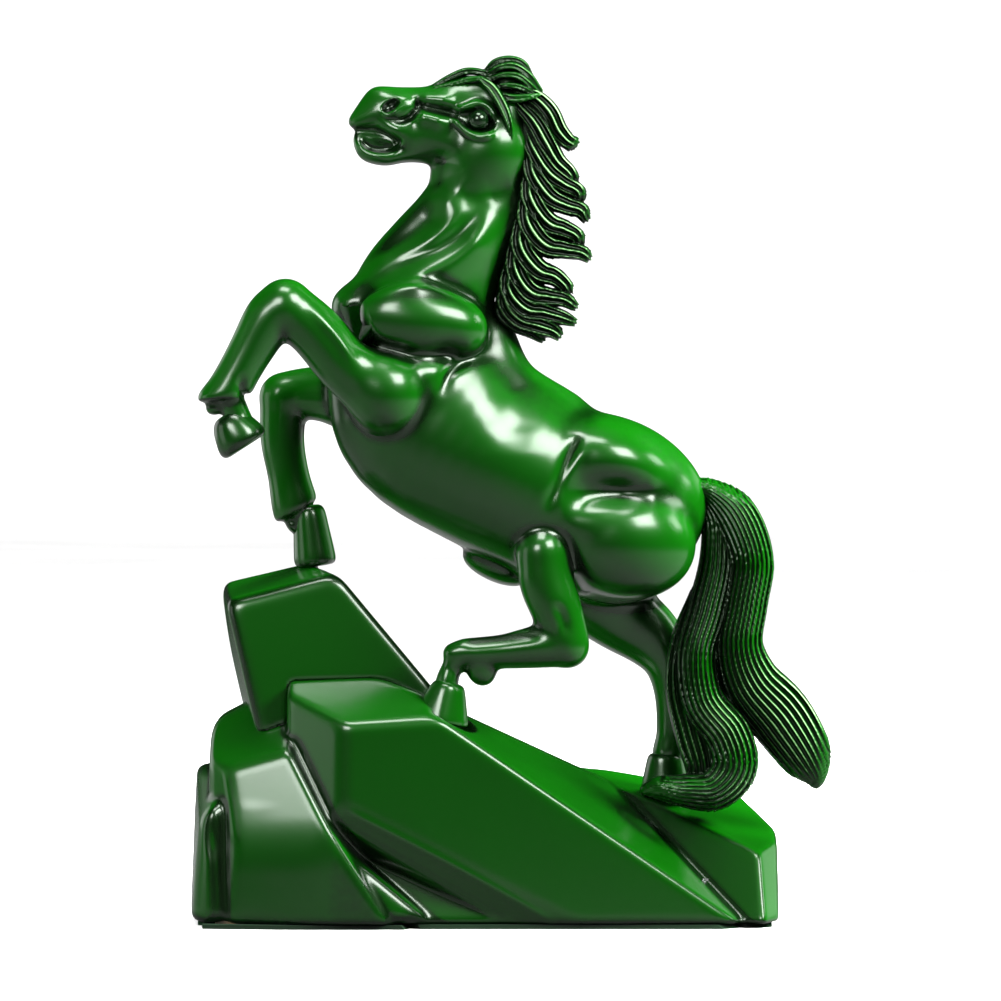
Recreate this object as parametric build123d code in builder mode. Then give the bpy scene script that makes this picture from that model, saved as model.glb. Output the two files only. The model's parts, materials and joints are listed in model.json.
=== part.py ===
"""Rearing horse figurine on a faceted rock base, cast in parts and assembled on steel.

The horse faces -X and its near side is -Y.  Z is up and the origin lies under the
middle of the figurine, on the surface that it stands on.  All lengths are millimetres.

The rock is a hollow casting closed by a board and a felt sheet, with a plaster ballast
inside.  The horse is a body casting with a neck, head, four legs, four hooves, mane,
forelock and tail fixed to it.  Bent steel armatures run through the hind legs into the
rock, where nuts pull them down.
"""

import os

from build123d import *

os.makedirs("parts", exist_ok=True)

# Driving dimensions.
HEIGHT = 295.0
LENGTH = 216.0
BASE_DEPTH = 80.0
FELT_THICKNESS = 1.5
BOARD_THICKNESS = 4.0
WALL = 6.0
BOARD_GAP = 0.2
WIRE_RADIUS = 1.5
DOWEL_RADIUS = 2.0
SCREW_RADIUS = 1.5
SCREW_HEAD_RADIUS = 3.0
SCREW_LENGTH = 14.0
BOSS_RADIUS = 5.0
NUT_ACROSS_FLATS = 5.5
NUT_THICKNESS = 2.4
WASHER_RADIUS = 3.5
WASHER_THICKNESS = 0.6
SCREW_CLEARANCE = 0.2
FELT_MARGIN = 2.0
EYE_X = -12.0
EYE_Y = 8.6
EYE_Z = 272.5
EYE_RADIUS = 3.4

BACK = LENGTH / 2
FRONT = -LENGTH / 2
NEAR = -BASE_DEPTH / 2
FAR = BASE_DEPTH / 2
ROCK_FOOT = FELT_THICKNESS
ROCK_END = BACK - 18.0

STANDING = (Align.CENTER, Align.CENTER, Align.MIN)

# The planes at which the body, neck and head castings meet.  Each faces up the horse.
NECK_JOINT = Plane(origin=(-30, 0, 217), x_dir=(0, 1, 0), z_dir=(0.08, 0, 1))
HEAD_JOINT = Plane(origin=(-12, 0, 255), x_dir=(0, 1, 0), z_dir=(-0.15, 0, 1))


def finish(builder, name):
    """Labels a piece and writes it as one STEP file."""
    builder.part.label = name
    export_step(builder.part, f"parts/{name}.step")


def oval(centre, facing, half_height, half_width):
    """One oval section of a lofted form, its width along Y."""
    with BuildSketch(Plane(origin=centre, x_dir=(0, 1, 0), z_dir=facing)) as section:
        Ellipse(half_width, half_height)
    return section.sketch


def form(*stations):
    """A loft through oval sections.  A station is x, y, z, half height, half width."""
    last = len(stations) - 1
    sections = []
    for i, (x, y, z, half_height, half_width) in enumerate(stations):
        before, after = stations[max(i - 1, 0)], stations[min(i + 1, last)]
        facing = (after[0] - before[0], 0, after[2] - before[2])
        sections.append(oval((x, y, z), facing, half_height, half_width))
    loft(sections)


def ball(centre, radius):
    """A round swelling at a joint or a muscle."""
    with Locations(centre):
        Sphere(radius)


def rod(route, bend, radius):
    """A round rod along straight runs joined by arcs of one bend radius."""
    with BuildLine() as path:
        FilletPolyline(*route, radius=bend)
    with BuildSketch(Plane(origin=path.line @ 0, z_dir=path.line % 0)) as section:
        Circle(radius)
    sweep(section.sketch, path=path.line)


def straight_rod(start, end, radius):
    """A round rod between two points."""
    with BuildLine() as path:
        Line(start, end)
    with BuildSketch(Plane(origin=start, z_dir=path.line % 0)) as section:
        Circle(radius)
    sweep(section.sketch, path=path.line)


def hewn_block(low, high, facets, inset=0.0):
    """A block cut back by flat facets, each a point on it and its outward normal.

    With an inset every facet and side moves inwards, which gives the space inside a wall.
    """
    size = [high[i] - low[i] - 2 * inset for i in range(3)]
    centre = [(high[i] + low[i]) / 2 for i in range(3)]
    with Locations(tuple(centre)):
        Box(*size)
    for point, normal in facets:
        facet = Plane(origin=point, z_dir=normal)
        split(bisect_by=facet.offset(-inset), keep=Keep.BOTTOM)


# ---------------------------------------------------------------- rock facets
# The slab rises from the ground at the tail end to a flat shoulder under the crag.
SLAB_LOW = (-76, NEAR, ROCK_FOOT)
SLAB_HIGH = (84, FAR, 84)
SLAB_FACETS = [
    ((0, -38, 0), (0, -1, 0.16)),
    ((-27, -28, 69), (0.52, -0.5, 0.85)),
    ((-42, -28, 69), (-0.1, -0.5, 0.85)),
    ((-20, 20, 74), (0.56, 0.1, 0.85)),
    ((-56, -36, 38), (-0.48, -0.55, -0.3)),
    ((0, FAR - 1, 0), (0, 1, 0.12)),
]
END_LOW = (0, -36, ROCK_FOOT)
END_HIGH = (ROCK_END, FAR, 54)
END_FACETS = [
    ((86, -28, 24), (0.3, -0.93, 0.12)),
    ((60, -20, 40), (-0.42, -0.9, 0.1)),
    ((10, 0, 53), (0.22, -0.28, 0.95)),
    ((88, 0, 34), (0.85, 0, 0.5)),
    ((60, FAR, 0), (0, 1, 0.1)),
]
BOULDER_LOW = (-106, NEAR, ROCK_FOOT)
BOULDER_HIGH = (0, 30, 76)
BOULDER_FACETS = [
    ((-92, -37, 28), (-0.12, -0.98, 0.05)),
    ((-84, -36, 43), (-0.3, -0.85, 0.4)),
    ((-90, -10, 71), (-0.2, -0.35, 0.9)),
    ((-104, -20, 55), (-0.96, -0.2, 0.15)),
    ((-66, -30, 40), (0.72, -0.2, 0.66)),
    ((-90, 28, 0), (0, 1, 0.1)),
]
LOBE_LOW = (FRONT, -26, ROCK_FOOT)
LOBE_HIGH = (-60, FAR - 2, 50)
LOBE_FACETS = [
    ((-107, 0, 24), (-0.98, 0, 0.16)),
    ((-100, 0, 46), (-0.45, -0.1, 0.89)),
    ((-100, -24, 20), (-0.5, -0.86, 0.1)),
    ((-100, 37, 0), (-0.1, 1, 0.1)),
]
CRAG_LOW = (-100, -14, 52)
CRAG_HIGH = (-20, 34, 123)
CRAG_FACETS = [
    ((-96, 0, 100), (-0.96, -0.1, -0.22)),
    ((-86, 0, 118), (-0.35, -0.2, 0.92)),
    ((-59, 0, 121), (0.77, 0, 0.64)),
    ((-66, -12, 100), (0.1, -0.97, 0.2)),
    ((-66, 32, 90), (0, 0.96, 0.28)),
]
CRAG_SEAT = Plane.XY.offset(66)

DOWEL_PLACES = [(-79, 8), (-50, 12)]
DOWEL_FOOT = 59.5
DOWEL_LENGTH = 22.0
SCREW_PLACES = [(-88, -14), (-88, 20), (66, -16), (66, 24)]
BALLAST_LOW = (-60, -12, ROCK_FOOT + BOARD_THICKNESS + 1)
BALLAST_HIGH = (10, 20, 34)
BALLAST_CHAMFER = 4.0

# ---------------------------------------------------------------- steel inside
NEAR_HIND_ROUTE = [
    (-22, -18, 50),
    (-22, -18, 84),
    (-14, -19, 93),
    (20, -20, 96),
    (14, -18, 116),
    (24, -12, 132),
]
FAR_HIND_ROUTE = [
    (54, 16, 28),
    (54, 16, 62),
    (55, 16, 92),
    (38, 15, 112),
    (34, 12, 132),
]
NEAR_FORE_ROUTE = [
    (-92, -22, 190),
    (-79, -22, 209),
    (-57, -20, 193),
    (-36, -14, 184),
]
FAR_FORE_ROUTE = [
    (-76, 17, 150),
    (-80, 17, 176),
    (-60, 17, 181),
    (-38, 12, 178),
]
TAIL_ROUTE = [(50, 0, 140), (68, 0, 147), (82, 0, 138), (84, 0, 118)]

TIGHT_BEND = 3.0
FORE_BEND = 4.0
WIDE_BEND = 5.0
NECK_DOWEL_ENDS = [(-29, 0, 200), (-23, 0, 234)]
HEAD_DOWEL_ENDS = [(-15, 0, 245), (-12, 0, 266)]
HOOF_PIN_ENDS = [(-66, 16, 112), (-70, 17, 130)]

steel_routes = {
    "near_hind_armature": (NEAR_HIND_ROUTE, TIGHT_BEND),
    "far_hind_armature": (FAR_HIND_ROUTE, WIDE_BEND),
    "near_foreleg_armature": (NEAR_FORE_ROUTE, FORE_BEND),
    "far_foreleg_armature": (FAR_FORE_ROUTE, FORE_BEND),
    "tail_armature": (TAIL_ROUTE, WIDE_BEND),
}
steel = {}
for name, (route, bend) in steel_routes.items():
    with BuildPart() as wire:
        rod(route, bend, WIRE_RADIUS)
    steel[name] = wire.part
    finish(wire, name)

with BuildPart() as neck_dowel:
    straight_rod(*NECK_DOWEL_ENDS, DOWEL_RADIUS)
finish(neck_dowel, "neck_dowel")

with BuildPart() as head_dowel:
    straight_rod(*HEAD_DOWEL_ENDS, DOWEL_RADIUS)
finish(head_dowel, "head_dowel")

with BuildPart() as crag_dowels:
    for x, y in DOWEL_PLACES:
        straight_rod((x, y, DOWEL_FOOT), (x, y, DOWEL_FOOT + DOWEL_LENGTH), DOWEL_RADIUS)
finish(crag_dowels, "crag_dowels")

with BuildPart() as hoof_pin:
    straight_rod(*HOOF_PIN_ENDS, WIRE_RADIUS)
finish(hoof_pin, "far_fore_hoof_pin")


# ---------------------------------------------------------------- horse castings
def neck_form():
    """The whole neck, from inside the shoulders to the throat."""
    form(
        (-31, 0, 192, 22, 16),
        (-30, 0, 212, 27, 17),
        (-22, 0, 231, 22.5, 13.5),
        (-13.5, 0, 247, 19, 11.5),
        (-11, 0, 262, 15, 10),
    )


with BuildPart() as body:
    form(
        (-61, 0, 195, 6, 6),
        (-55, 0, 190, 14, 14),
        (-43, 0, 182, 24, 21),
        (-28, 0, 170, 32, 24.5),
        (-8.5, 0, 158, 32, 26),
        (12, 0, 147, 29.5, 25),
        (32, 0, 138, 30, 27),
        (48, 0, 131, 25, 23),
        (58, 0, 127, 14, 14),
        (63, 0, 125, 5, 5),
    )
    neck_form()
    for side in (-1, 1):
        ball((-37, side * 14, 199), 12)
        ball((-44, side * 14, 183), 13)
        ball((12, side * 20, 127), 8.5)
        ball((36, side * 15, 126), 17)
    split(bisect_by=NECK_JOINT, keep=Keep.BOTTOM)
    for inner in (*steel.values(), neck_dowel.part):
        add(inner, mode=Mode.SUBTRACT)
finish(body, "body")

with BuildPart() as neck:
    neck_form()
    split(bisect_by=NECK_JOINT, keep=Keep.TOP)
    split(bisect_by=HEAD_JOINT, keep=Keep.BOTTOM)
    add(neck_dowel.part, mode=Mode.SUBTRACT)
    add(head_dowel.part, mode=Mode.SUBTRACT)
finish(neck, "neck")

eyes = {}
for name, side in (("near_eye", -1), ("far_eye", 1)):
    with BuildPart() as eye:
        ball((EYE_X, side * EYE_Y, EYE_Z), EYE_RADIUS)
    eyes[name] = eye.part
    finish(eye, name)

with BuildPart() as head:
    form(
        (8, 0, 271, 5, 5),
        (2, 0, 268, 13, 9),
        (-9, 0, 266.5, 16.5, 11.5),
        (-23, 0, 271.5, 12.5, 9.5),
        (-36, 0, 272, 11, 8),
        (-48, 0, 270.5, 10, 7.5),
        (-55, 0, 269.5, 5, 4.5),
    )
    for side in (-1, 1):
        form((0, side * 7, 276, 4, 3.5), (9, side * 9.5, 281, 3, 2), (14, side * 10, 283, 1, 1))
    split(bisect_by=HEAD_JOINT, keep=Keep.TOP)
    for inner in (head_dowel.part, *eyes.values()):
        add(inner, mode=Mode.SUBTRACT)
finish(head, "head")

# Legs are cast with their shins and fetlocks; the hooves are separate.
leg_forms = {
    "near_foreleg": [
        [(-40, -17, 180, 12, 10), (-57, -20, 193, 12, 9), (-77, -22, 209, 9.5, 8.5)],
        [(-79, -22, 210, 9, 8.5), (-87, -22, 197, 8.5, 7.5), (-97, -22, 181, 9, 7.5)],
        [(-96, -22, 182, 6, 5), (-96.5, -22, 172, 6, 5)],
    ],
    "far_foreleg": [
        [(-44, 14, 179, 12, 9), (-62, 17, 181, 11, 8), (-79, 17, 179, 8.5, 8)],
        [(-79.5, 17, 180, 8.5, 8), (-78, 17, 162, 7, 6.5), (-74, 17, 140, 8, 7)],
        [(-75, 17, 142, 5, 4.5), (-69, 17, 133, 5, 4.5)],
    ],
    "near_hind_leg": [
        [(12, -19, 122, 9.5, 9), (13, -20, 110, 9, 8), (20, -20, 95, 7.5, 6.5)],
        [(22, -20, 94, 6.5, 6.5), (0, -19.5, 94, 5.5, 5), (-18, -18, 92, 4.5, 4.5)],
        [(-18, -18, 92, 4, 4), (-21.5, -18, 81, 4.5, 4.5)],
    ],
    "far_hind_leg": [
        [(36, 16, 118, 14, 9), (42, 16, 106, 11, 8), (54, 16, 91, 8, 7)],
        [(54.5, 16, 92, 7.5, 7), (54.5, 16, 75, 5.5, 5), (54, 16, 58, 5.5, 5)],
        [(54, 16, 60, 4.5, 4.5), (53, 16, 54, 5, 5)],
    ],
}
knees = {
    "near_foreleg": ((-78, -22, 210), 9),
    "far_foreleg": ((-79.5, 17, 180), 8.5),
    "near_hind_leg": ((21, -20, 95), 7),
    "far_hind_leg": ((54.5, 16, 92), 7.5),
}
legs = {}
for name, segments in leg_forms.items():
    with BuildPart() as leg:
        for stations in segments:
            form(*stations)
        ball(*knees[name])
        add(body.part, mode=Mode.SUBTRACT)
        add(steel[f"{name.replace('_leg', '')}_armature"], mode=Mode.SUBTRACT)
    legs[name] = leg
    finish(leg, name)

# ---------------------------------------------------------------- rock castings
BLOCKS = [
    (SLAB_LOW, SLAB_HIGH, SLAB_FACETS),
    (END_LOW, END_HIGH, END_FACETS),
    (BOULDER_LOW, BOULDER_HIGH, BOULDER_FACETS),
    (LOBE_LOW, LOBE_HIGH, LOBE_FACETS),
]


def blocks(inset):
    """The four blocks of the rock, each moved in by the inset everywhere but at its foot."""
    shapes = []
    for low, high, facets in BLOCKS:
        with BuildPart() as block:
            hewn_block((low[0], low[1], low[2] - inset), high, facets, inset)
        shapes.append(block.part)
    return shapes


BOARD_TOP = ROCK_FOOT + BOARD_THICKNESS
NUT_SEATS = [(-22, -18, 58), (54, 16, 33)]
SEAT_RADIUS = 6.0

with BuildPart() as cavity:
    for shape in blocks(WALL):
        add(shape)
    for x, y in SCREW_PLACES:
        with Locations((x, y, BOARD_TOP)):
            Cylinder(BOSS_RADIUS, HEIGHT, align=STANDING, mode=Mode.SUBTRACT)
    for seat in NUT_SEATS:
        with Locations(seat):
            Cylinder(SEAT_RADIUS, HEIGHT, align=STANDING, mode=Mode.SUBTRACT)

with BuildPart() as board_screws:
    for x, y in SCREW_PLACES:
        with Locations((x, y, ROCK_FOOT)):
            Cone(
                SCREW_HEAD_RADIUS,
                SCREW_RADIUS,
                SCREW_HEAD_RADIUS - SCREW_RADIUS,
                align=STANDING,
            )
            Cylinder(SCREW_RADIUS, SCREW_LENGTH, align=STANDING)
finish(board_screws, "board_screws")

with BuildPart() as rock_outside:
    for shape in blocks(0):
        add(shape)

with BuildPart() as rock:
    add(rock_outside.part)
    add(cavity.part, mode=Mode.SUBTRACT)
    add(board_screws.part, mode=Mode.SUBTRACT)
    for name in ("near_hind_armature", "far_hind_armature"):
        add(steel[name], mode=Mode.SUBTRACT)
    add(crag_dowels.part, mode=Mode.SUBTRACT)
finish(rock, "rock_base")

with BuildPart() as crag:
    hewn_block(CRAG_LOW, CRAG_HIGH, CRAG_FACETS)
    add(rock_outside.part, mode=Mode.SUBTRACT)
    split(bisect_by=CRAG_SEAT, keep=Keep.TOP)
    add(crag_dowels.part, mode=Mode.SUBTRACT)
    add(hoof_pin.part, mode=Mode.SUBTRACT)
finish(crag, "rock_crag")

with BuildPart() as board:
    for shape in blocks(WALL + BOARD_GAP):
        add(shape)
    split(bisect_by=Plane.XY.offset(BOARD_TOP), keep=Keep.BOTTOM)
    for x, y in SCREW_PLACES:
        with Locations(Plane(origin=(x, y, ROCK_FOOT), z_dir=(0, 0, -1))):
            CounterSinkHole(SCREW_RADIUS + SCREW_CLEARANCE, SCREW_HEAD_RADIUS + SCREW_CLEARANCE)
finish(board, "base_board")

with BuildPart() as felt:
    with Locations((0, 0, -ROCK_FOOT)):
        for shape in blocks(FELT_MARGIN):
            add(shape)
    split(bisect_by=Plane.XY.offset(ROCK_FOOT), keep=Keep.BOTTOM)
finish(felt, "felt_sheet")

with BuildPart() as ballast:
    hewn_block(BALLAST_LOW, BALLAST_HIGH, [])
    chamfer(ballast.edges().filter_by(Axis.Z), BALLAST_CHAMFER)
finish(ballast, "ballast_block")

with BuildPart() as washers:
    for x, y, z in NUT_SEATS:
        with Locations((x, y, z - WASHER_THICKNESS)):
            Cylinder(WASHER_RADIUS, WASHER_THICKNESS, align=STANDING)
    for name in ("near_hind_armature", "far_hind_armature"):
        add(steel[name], mode=Mode.SUBTRACT)
finish(washers, "armature_washers")

with BuildPart() as nuts:
    for x, y, z in NUT_SEATS:
        with BuildSketch(Plane.XY.offset(z - WASHER_THICKNESS - NUT_THICKNESS)):
            with Locations((x, y)):
                RegularPolygon(NUT_ACROSS_FLATS / 2, 6, major_radius=False)
        extrude(amount=NUT_THICKNESS)
    for name in ("near_hind_armature", "far_hind_armature"):
        add(steel[name], mode=Mode.SUBTRACT)
finish(nuts, "armature_nuts")

# ---------------------------------------------------------------- hooves and hair
# Each hoof runs from its coronet to its sole: centre, facing, half height, half width.
hoof_forms = {
    "near_fore_hoof": [
        ((-95.5, -22, 173), (0.3, 0, -0.95), 7, 6.5),
        ((-91.5, -22, 163), (0.35, 0, -0.94), 10, 8.5),
    ],
    "far_fore_hoof": [
        ((-70, 17, 137), (0.6, 0, -0.8), 7, 6.5),
        ((-66.3, 17, 122.5), (0.1, 0, -1), 7, 8),
    ],
    "near_hind_hoof": [
        ((-21.8, -18, 82), (0, 0, -1), 5.5, 5.5),
        ((-22.5, -18, 66), (0, 0, -1), 9, 8.5),
    ],
    "far_hind_hoof": [
        ((53, 16, 55), (0, 0, -1), 6, 6),
        ((52.5, 16, 40), (0, 0, -1), 8.5, 8.5),
    ],
}
hooves = {}
for name, ends in hoof_forms.items():
    leg = legs[name.replace("fore_hoof", "foreleg").replace("hind_hoof", "hind_leg")]
    with BuildPart() as hoof:
        loft([oval(*end) for end in ends])
        add(leg.part, mode=Mode.SUBTRACT)
        add(rock_outside.part, mode=Mode.SUBTRACT)
        add(crag.part, mode=Mode.SUBTRACT)
        add(hoof_pin.part, mode=Mode.SUBTRACT)
        for inner in steel.values():
            add(inner, mode=Mode.SUBTRACT)
    hooves[name] = hoof
    finish(hoof, name)

with BuildPart() as mane:
    form(
        (6, 0, 283, 5, 6),
        (11.5, 0, 272.5, 6.5, 7),
        (14, 0, 262, 8, 7.5),
        (15.5, 0, 250, 9.5, 8),
        (15.5, 0, 238, 10.5, 8),
        (13.5, 0, 226, 11.5, 8),
        (11, 0, 214, 12, 8),
        (9.5, 0, 204.5, 10, 6),
        (11.5, 0, 199.5, 4, 3),
    )
    for casting in (head.part, neck.part, body.part):
        add(casting, mode=Mode.SUBTRACT)
finish(mane, "mane")

with BuildPart() as forelock:
    form(
        (-25, 0, 284, 1.5, 2),
        (-12, 0, 286.5, 4, 6),
        (-1, 0, 288.5, 6.2, 8),
        (7, 0, 284, 6, 7),
        (11, 0, 279, 2, 3),
    )
    add(head.part, mode=Mode.SUBTRACT)
    add(mane.part, mode=Mode.SUBTRACT)
finish(forelock, "forelock")

with BuildPart() as tail:
    form(
        (58, 0, 144, 4, 4),
        (66, 0, 147, 5, 5),
        (75, 0, 141, 9, 8),
        (78, 0, 130, 11.5, 10),
        (77, 0, 117, 12.5, 11),
        (73, 0, 100, 13, 11.5),
        (74, 0, 83, 14.5, 12),
        (86, 0, 71, 12.5, 11),
        (97.5, 0, 59, 9.5, 9),
        (104.5, 0, 48.5, 3.5, 3.5),
    )
    form(
        (72, 0, 84, 12, 11),
        (73, 0, 68, 10.5, 11),
        (75, 0, 58, 9, 10),
        (68, 0, 51, 8.5, 9),
        (57, 0, 47, 7, 8),
        (49, 0, 45, 4, 4),
    )
    for casting in (body, legs["far_hind_leg"], hooves["far_hind_hoof"], rock_outside):
        add(casting.part, mode=Mode.SUBTRACT)
    for inner in steel.values():
        add(inner, mode=Mode.SUBTRACT)
finish(tail, "tail")
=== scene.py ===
"""Rearing horse figurine in jade-green lacquer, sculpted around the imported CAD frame.

Each piece is modelled as clay: a grid of distances to its surface, in the millimetres of
the CAD frame.  Rounded forms are joined to the clay and creases are pressed into it from
the side.  The clay is then cast as a mesh whose vertices lie exactly on the surface.
The horse faces -X, its near side is -Y and +Z is up.
"""

import json
import math
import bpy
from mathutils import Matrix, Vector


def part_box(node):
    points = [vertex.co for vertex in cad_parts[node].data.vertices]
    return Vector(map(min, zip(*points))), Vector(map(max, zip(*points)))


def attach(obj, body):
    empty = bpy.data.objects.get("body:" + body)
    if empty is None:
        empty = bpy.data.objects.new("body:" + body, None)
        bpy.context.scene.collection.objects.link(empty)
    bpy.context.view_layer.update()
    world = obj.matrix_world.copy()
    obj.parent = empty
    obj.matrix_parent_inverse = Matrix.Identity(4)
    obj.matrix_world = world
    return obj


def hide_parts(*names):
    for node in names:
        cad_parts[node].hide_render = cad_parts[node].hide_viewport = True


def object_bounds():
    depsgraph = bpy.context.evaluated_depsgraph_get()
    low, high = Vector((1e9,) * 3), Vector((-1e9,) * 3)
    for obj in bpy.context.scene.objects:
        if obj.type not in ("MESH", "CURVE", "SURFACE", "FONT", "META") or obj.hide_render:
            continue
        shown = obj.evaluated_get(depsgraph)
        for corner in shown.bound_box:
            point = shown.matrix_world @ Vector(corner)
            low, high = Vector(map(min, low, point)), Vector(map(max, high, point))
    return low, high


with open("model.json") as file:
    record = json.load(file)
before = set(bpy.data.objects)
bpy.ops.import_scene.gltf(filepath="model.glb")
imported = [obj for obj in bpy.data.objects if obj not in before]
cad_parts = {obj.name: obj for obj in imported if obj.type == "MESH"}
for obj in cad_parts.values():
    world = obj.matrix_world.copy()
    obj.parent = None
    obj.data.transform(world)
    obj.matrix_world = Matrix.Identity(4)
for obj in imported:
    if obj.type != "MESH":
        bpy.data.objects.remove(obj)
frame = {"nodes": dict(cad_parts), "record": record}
CAD_BOX = [list(corner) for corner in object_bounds()]

import bpy
import numpy as np
import openvdb
from mathutils import Vector

# The clay works in millimetres of the full-size figurine, which stands this high.
FULL_HEIGHT = 295.0
HEIGHT = CAD_BOX[1][2] - CAD_BOX[0][2]
MM = HEIGHT / FULL_HEIGHT
NEAR, FAR = -1, 1
# The distance in empty clay, and one that lies beyond every block of clay.
FAR_AWAY = 12.0
VERY_FAR = 1e4
# How far outside its surface a form is worked out.
SURFACE_MARGIN = 4.0
# Keeps a division from failing at the middle of a form, or where the clay has no slope.
TINY_LEAN = 1e-6
TINY_SLOPE = 1e-9
# How finely the routes of limbs, locks and creases are divided between stations.
LIMB_STEPS, LOCK_STEPS, PRESS_STEPS = 5, 6, 6
# A crease fades out over this depth of clay, and within this many of its widths.
PRESS_FADE = 3.0
PRESS_SPREAD = 3
# A flute of hair is no deeper than this share of the width of its strand.
FLUTE_LIMIT = 1.4
# Passes that move a cast vertex onto the surface, and the longest move, in cells.
CAST_PASSES = 3
LONGEST_MOVE = 0.7
# How far around a vertex the surface is felt to tell a ridge from a groove.
RELIEF_REACH = 1.2
# A hollow is where the surface comes closer again at these distances in front of it. There the relief is
# lowered by this share, so the lacquer paints shade into the hollow.
HOLLOW_GAPS = (2.0, 4.0)
HOLLOW_SHADE = 0.45


def box_of(node):
    """The two corners of a CAD node's box, in millimetres."""
    return [np.array(corner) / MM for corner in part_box(node)]


def place_of(node):
    """The centre of a CAD node and half its size, in millimetres."""
    low, high = box_of(node)
    return (low + high) / 2, (high - low) / 2


def unit(direction):
    """A direction at length one."""
    return np.array(direction) / np.linalg.norm(direction)


def new_object(name, data):
    """A new object in the scene that holds the data."""
    made = bpy.data.objects.new(name, data)
    bpy.context.collection.objects.link(made)
    return made


# ------------------------------------------------------------------ clay
def soft_min(a, b, blend):
    """The nearer of two distances, with the crease between them filled over a width."""
    if blend <= 0:
        return np.minimum(a, b)
    overlap = np.maximum(blend - np.abs(a - b), 0)
    return np.minimum(a, b) - overlap * overlap * (0.25 / blend)


def soft_max(a, b, blend):
    """The farther of two distances, with the edge between them rounded over a width."""
    return -soft_min(-a, -b, blend)


def smooth_route(stations, steps):
    """Points along a curve through the stations, smooth in every column."""
    rows = np.array(stations, dtype=float)
    rows = np.vstack([2 * rows[0] - rows[1], rows, 2 * rows[-1] - rows[-2]])
    route = []
    for p0, p1, p2, p3 in zip(rows, rows[1:], rows[2:], rows[3:]):
        for t in np.arange(steps) / steps:
            bend = (2 * p0 - 5 * p1 + 4 * p2 - p3) * t * t + (3 * (p1 - p2) + p3 - p0) * t**3
            route.append(p1 + 0.5 * ((p2 - p0) * t + bend))
    route.append(rows[-2])
    return np.array(route)


def facet(x, y, z, point, normal):
    """How far places lie beyond a plane, given by a point and its outward normal."""
    n = unit(normal)
    return (x - point[0]) * n[0] + (y - point[1]) * n[1] + (z - point[2]) * n[2]


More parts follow.
